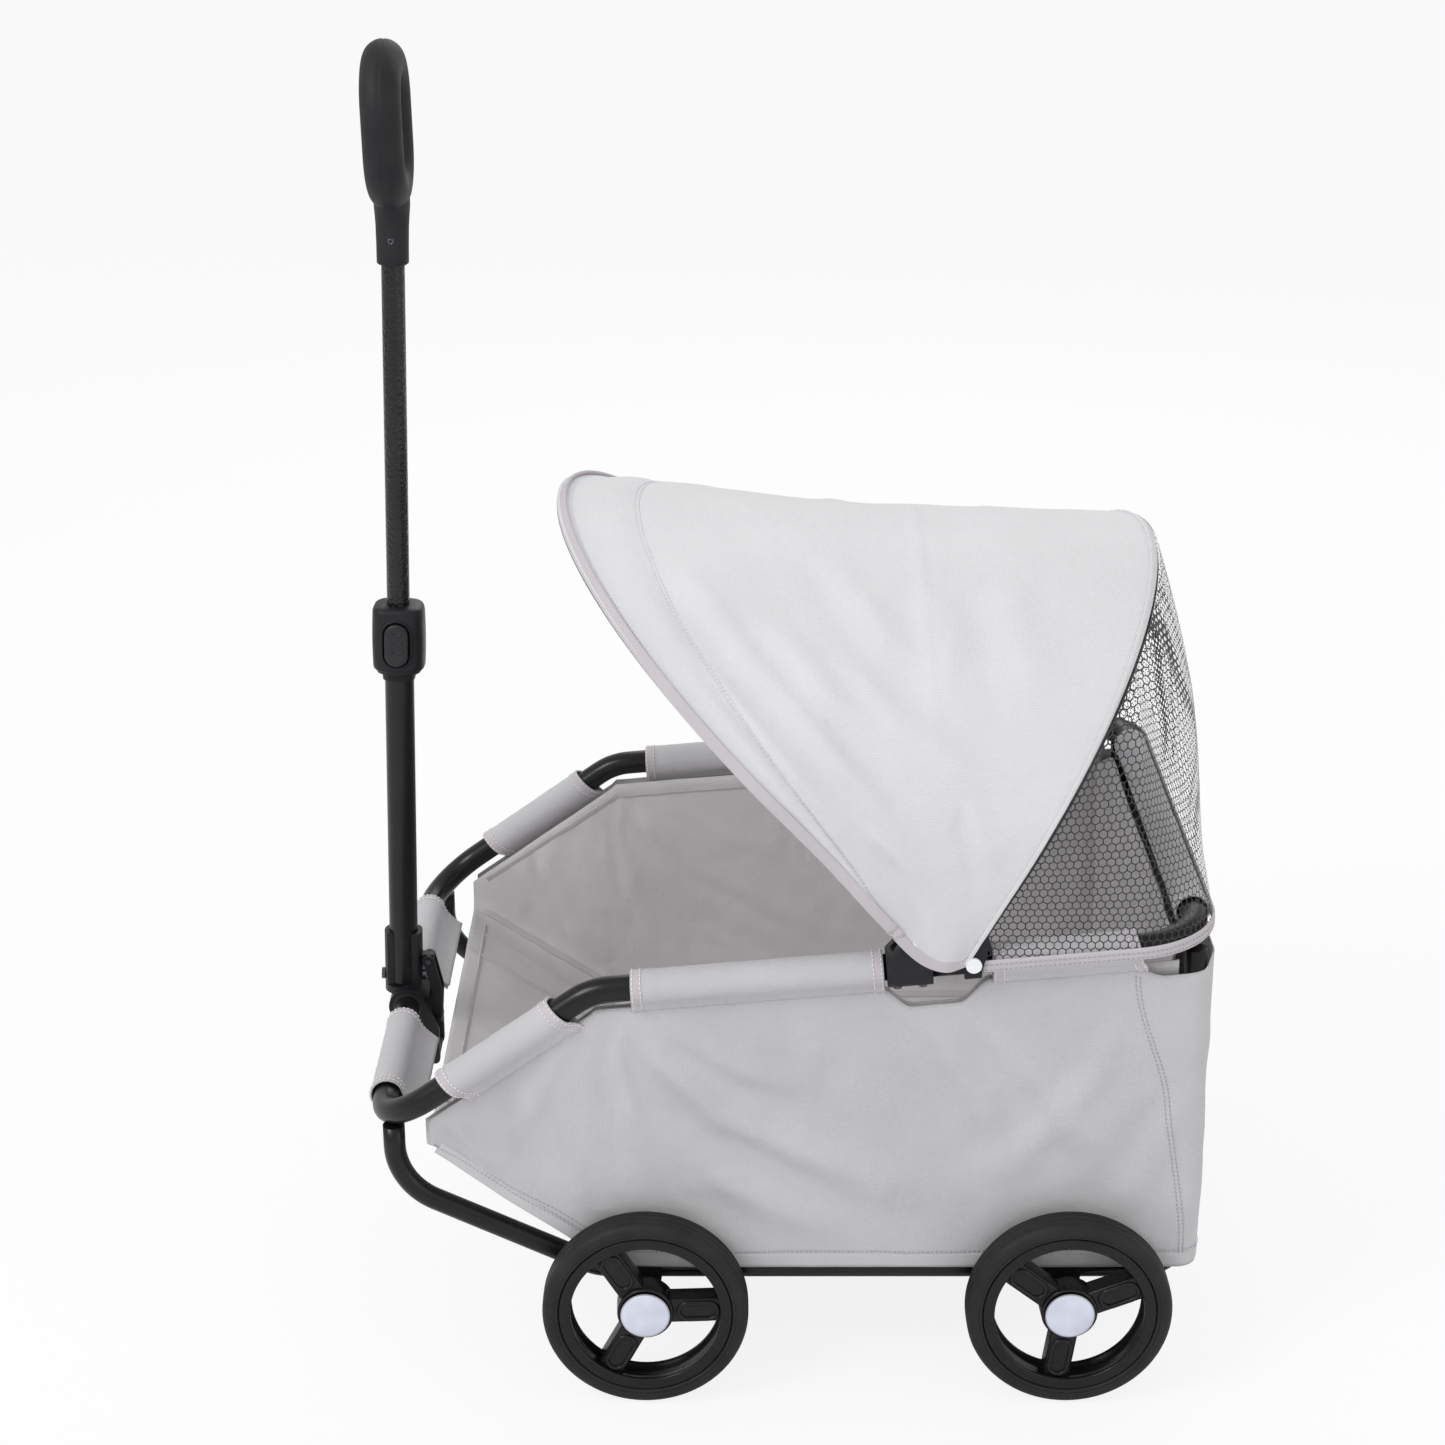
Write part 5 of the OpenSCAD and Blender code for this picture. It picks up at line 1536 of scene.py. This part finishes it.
def squared_loft(name, rows, material, power=3.4, sides=64):
    """Rounded-square sections along the pole: (height, half along x, half along y, shift in x)."""
    points = []
    for z, a, b, shift in rows:
        for k in range(sides):
            t = 2 * math.pi * k / sides
            c, s = math.cos(t), math.sin(t)
            r = (abs(c / a) ** power + abs(s / b) ** power) ** (-1 / power)
            points.append(on_pole(r * c + shift, r * s, z))
    return add_mesh(name, points, ring_faces(len(rows), sides), material)


collar_rows = [(257.2, 11.3, 11.3, 0), (257.4, 12.2, 12.2, 0), (262.6, 12.6, 12.6, 0), (263, 14.5, 14, 0),
               (263.6, 16.6, 15.4, 0.3)]
for a in (20, 40, 60, 80, 90):
    swell = 2.4 * (1 - math.cos(math.radians(a))) ** 0.6
    collar_rows.append((263.6 + 3.4 * math.sin(math.radians(a)), 16.6 + swell, 15.4 + swell, 0.4))
collar_rows += [(z, 19.2 + 0.5 * math.sin(math.pi * (z - 265) / 46), 17.8, 0.2) for z in along_axis(268.5, 309, 10)]
collar_rows += [(312, 18.9, 17.6, 0), (313.8, 18.0, 16.8, 0), (314.8, 16.4, 15.4, 0), (315.2, 11.5, 11.5, 0),
                (315.3, 8.9, 8.9, 0)]
collar = squared_loft("collar", collar_rows, mould_black)
BUTTON_Z = 288


def on_collar_face(x, z, out):
    """A point on the collar's flat face towards -Y, out mm in front of it."""
    return on_pole(x, -17.6 - out, BUTTON_Z + z)


def oval(length, width, steps=16):
    r, half = width / 2, (length - width) / 2
    ring = [(r * math.cos(math.pi * k / steps), half + r * math.sin(math.pi * k / steps)) for k in range(steps + 1)]
    return ring + [(-x, -z) for x, z in ring]


def bead_along(name, ring, out, radius, material, closed=True, sides=8):
    """A thin round bead on the collar's face through the (x, z) points."""
    n = len(ring)
    points = []
    for i, (x, z) in enumerate(ring):
        if closed:
            a, b = ring[i - 1], ring[(i + 1) % n]
        else:
            a, b = ring[max(0, i - 1)], ring[min(n - 1, i + 1)]
        way = Vector((b[0] - a[0], b[1] - a[1])).normalized()
        for k in range(sides):
            t = 2 * math.pi * k / sides
            aside = math.cos(t) * radius
            points.append(on_collar_face(x + way.y * aside, z - way.x * aside, out + math.sin(t) * radius))
    return add_mesh(name, points, ring_faces(n, sides, looped=closed), material)


bezel = bead_along("collar_bezel", oval(37.5, 22), -0.1, 1.0, mould_black)

# The button slides in an oval pocket, a little larger than the button all round.
pocket = oval(34.9, 19.4)
points = [on_collar_face(x, z, out) for out in (4, -6.3) for x, z in pocket]
pocket_form = add_mesh("pocket_form", points, ring_faces(2, len(pocket)), mould_black, smooth=False)
cut = collar.modifiers.new("pocket", "BOOLEAN")
cut.object = pocket_form
cut.operation = "DIFFERENCE"
collar = joined("collar_looks", [collar, bezel])
bpy.data.objects.remove(pocket_form)
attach(collar, "pole")
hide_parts("lock_collar")

# The push button: a domed oval pad with three plain raised chevrons that point down.
button_black = hard_finish("button_black", (0.012, 0.012, 0.014), 2400, (0.32, 0.44), 0.2, shine=0.4)
rings = [(1.0, -2.0), (1.0, 1.2), (0.985, 1.9), (0.95, 2.4), (0.88, 2.75), (0.75, 3.0), (0.5, 3.15), (0.25, 3.2)]
outline = oval(33.5, 18)
points = [on_collar_face(x * share, z * share, out) for share, out in rings for x, z in outline]
pad = add_mesh("button_pad", points, ring_faces(len(rings), len(outline)), button_black)
chevrons = []
for z in (7.5, 0.5, -6.5):
    arm = [(-4.8 + 9.6 * k / 12, z + 3 * abs(-1 + 2 * k / 12)) for k in range(13)]
    chevrons.append(bead_along("chevron", arm, 3.0, 0.75, button_black, closed=False))
button = joined("button_looks", [pad] + chevrons)
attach(button, "button")
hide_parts("lock_button")

# The handle: a closed upright loop of soft-touch plastic with a mould line round its middle,
# running down into a socket that a small screw holds on the upper tube.
grip_black = hard_finish("grip_black", (0.01, 0.01, 0.012), 2600, (0.5, 0.64), 0.3,
                         worn=(0.018, 0.018, 0.02), shine=0.28)
loop_route = []
half_w, low_z, top_z = 31.5, 622.5 + 6, 715.5
for k in range(120):
    t = k / 120 * 4
    if t < 1:
        loop_route.append((half_w, low_z + 24 + (top_z - low_z - 54) * t))
    elif t < 2:
        a = math.pi * (t - 1)
        loop_route.append((half_w * math.cos(a), top_z - 30 + 30 * math.sin(a)))
    elif t < 3:
        loop_route.append((-half_w, low_z + 24 + (top_z - low_z - 54) * (3 - t)))
    else:
        a = math.pi * (t - 3)
        loop_route.append((-half_w * math.cos(a), low_z + 24 - 28 * math.sin(a)))
sides = 72
points = []
for i, (y, z) in enumerate(loop_route):
    a, b = loop_route[i - 1], loop_route[(i + 1) % len(loop_route)]
    way = Vector((b[0] - a[0], b[1] - a[1])).normalized()
    out = Vector((way.y, -way.x))
    for k in range(sides):
        turn = 2 * math.pi * k / sides
        r = 14.4 - 0.45 * math.exp(-(math.sin(turn) / 0.05) ** 2)
        c, s = math.cos(turn), math.sin(turn)
        points.append(on_pole(r * s - (z - 610) * 0.045, y + out.x * r * 0.98 * c, z + out.y * r * 0.98 * c))
loop = add_mesh("handle_loop", points, ring_faces(len(loop_route), sides, looped=True), grip_black)
neck_rows = [(572, 9.2, 9.2, 0), (572.1, 10.6, 10.6, 0), (573, 11.5, 11.5, 0), (586, 11.6, 11.6, 0), (600, 11.9, 12, 0),
             (608, 12.4, 14.5, 0), (614, 12.8, 18.5, 0), (619, 12.6, 21.5, 0), (624, 11, 22, 0), (628, 8, 20, 0)]
neck = squared_loft("handle_neck", neck_rows, grip_black, power=2.2)
handle = joined("handle_looks", [loop, neck])
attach(handle, "slider")
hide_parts("handle_grip")
screw_rows = [(2.4, -3), (2.4, 0.3), (2.1, 0.7), (1.4, 0.95), (1.1, 0.2), (0.01, 0.2)]
points = [on_pole(r * math.cos(2 * math.pi * k / 24), -11.3 - out, 590 + r * math.sin(2 * math.pi * k / 24))
          for r, out in screw_rows for k in range(24)]
faces = ring_faces(len(screw_rows), 24, capped=False) + [tuple(range(24))]
screw = add_mesh("handle_screw", points, faces, zinc)
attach(screw, "slider")
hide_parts("grip_screw")


# ---------------------------------------------------------------- snaps and buttons
# Pearl-white cap snaps on the clamps and round white buttons on the clips, moulded with a soft
# shine. Their shapes come from the frame and take only their finish here.
pearl = hard_finish("pearl_white", (0.78, 0.78, 0.8), 300, (0.16, 0.26), 0.02, coat=0.5)
for node in ("canopy_snaps", "clip_buttons"):
    for place in frame["nodes"][node].material_slots:
        place.material = pearl


# ---------------------------------------------------------------- seams
# Every line of stitches that stays on the frame, in white on the sleeves and grey elsewhere.
for name, lines, thread in (("seams_white", chassis_white, thread_white), ("seams_grey", chassis_grey, thread_grey)):
    seams = stitched(name, lines, thread)
    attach(seams, "chassis")
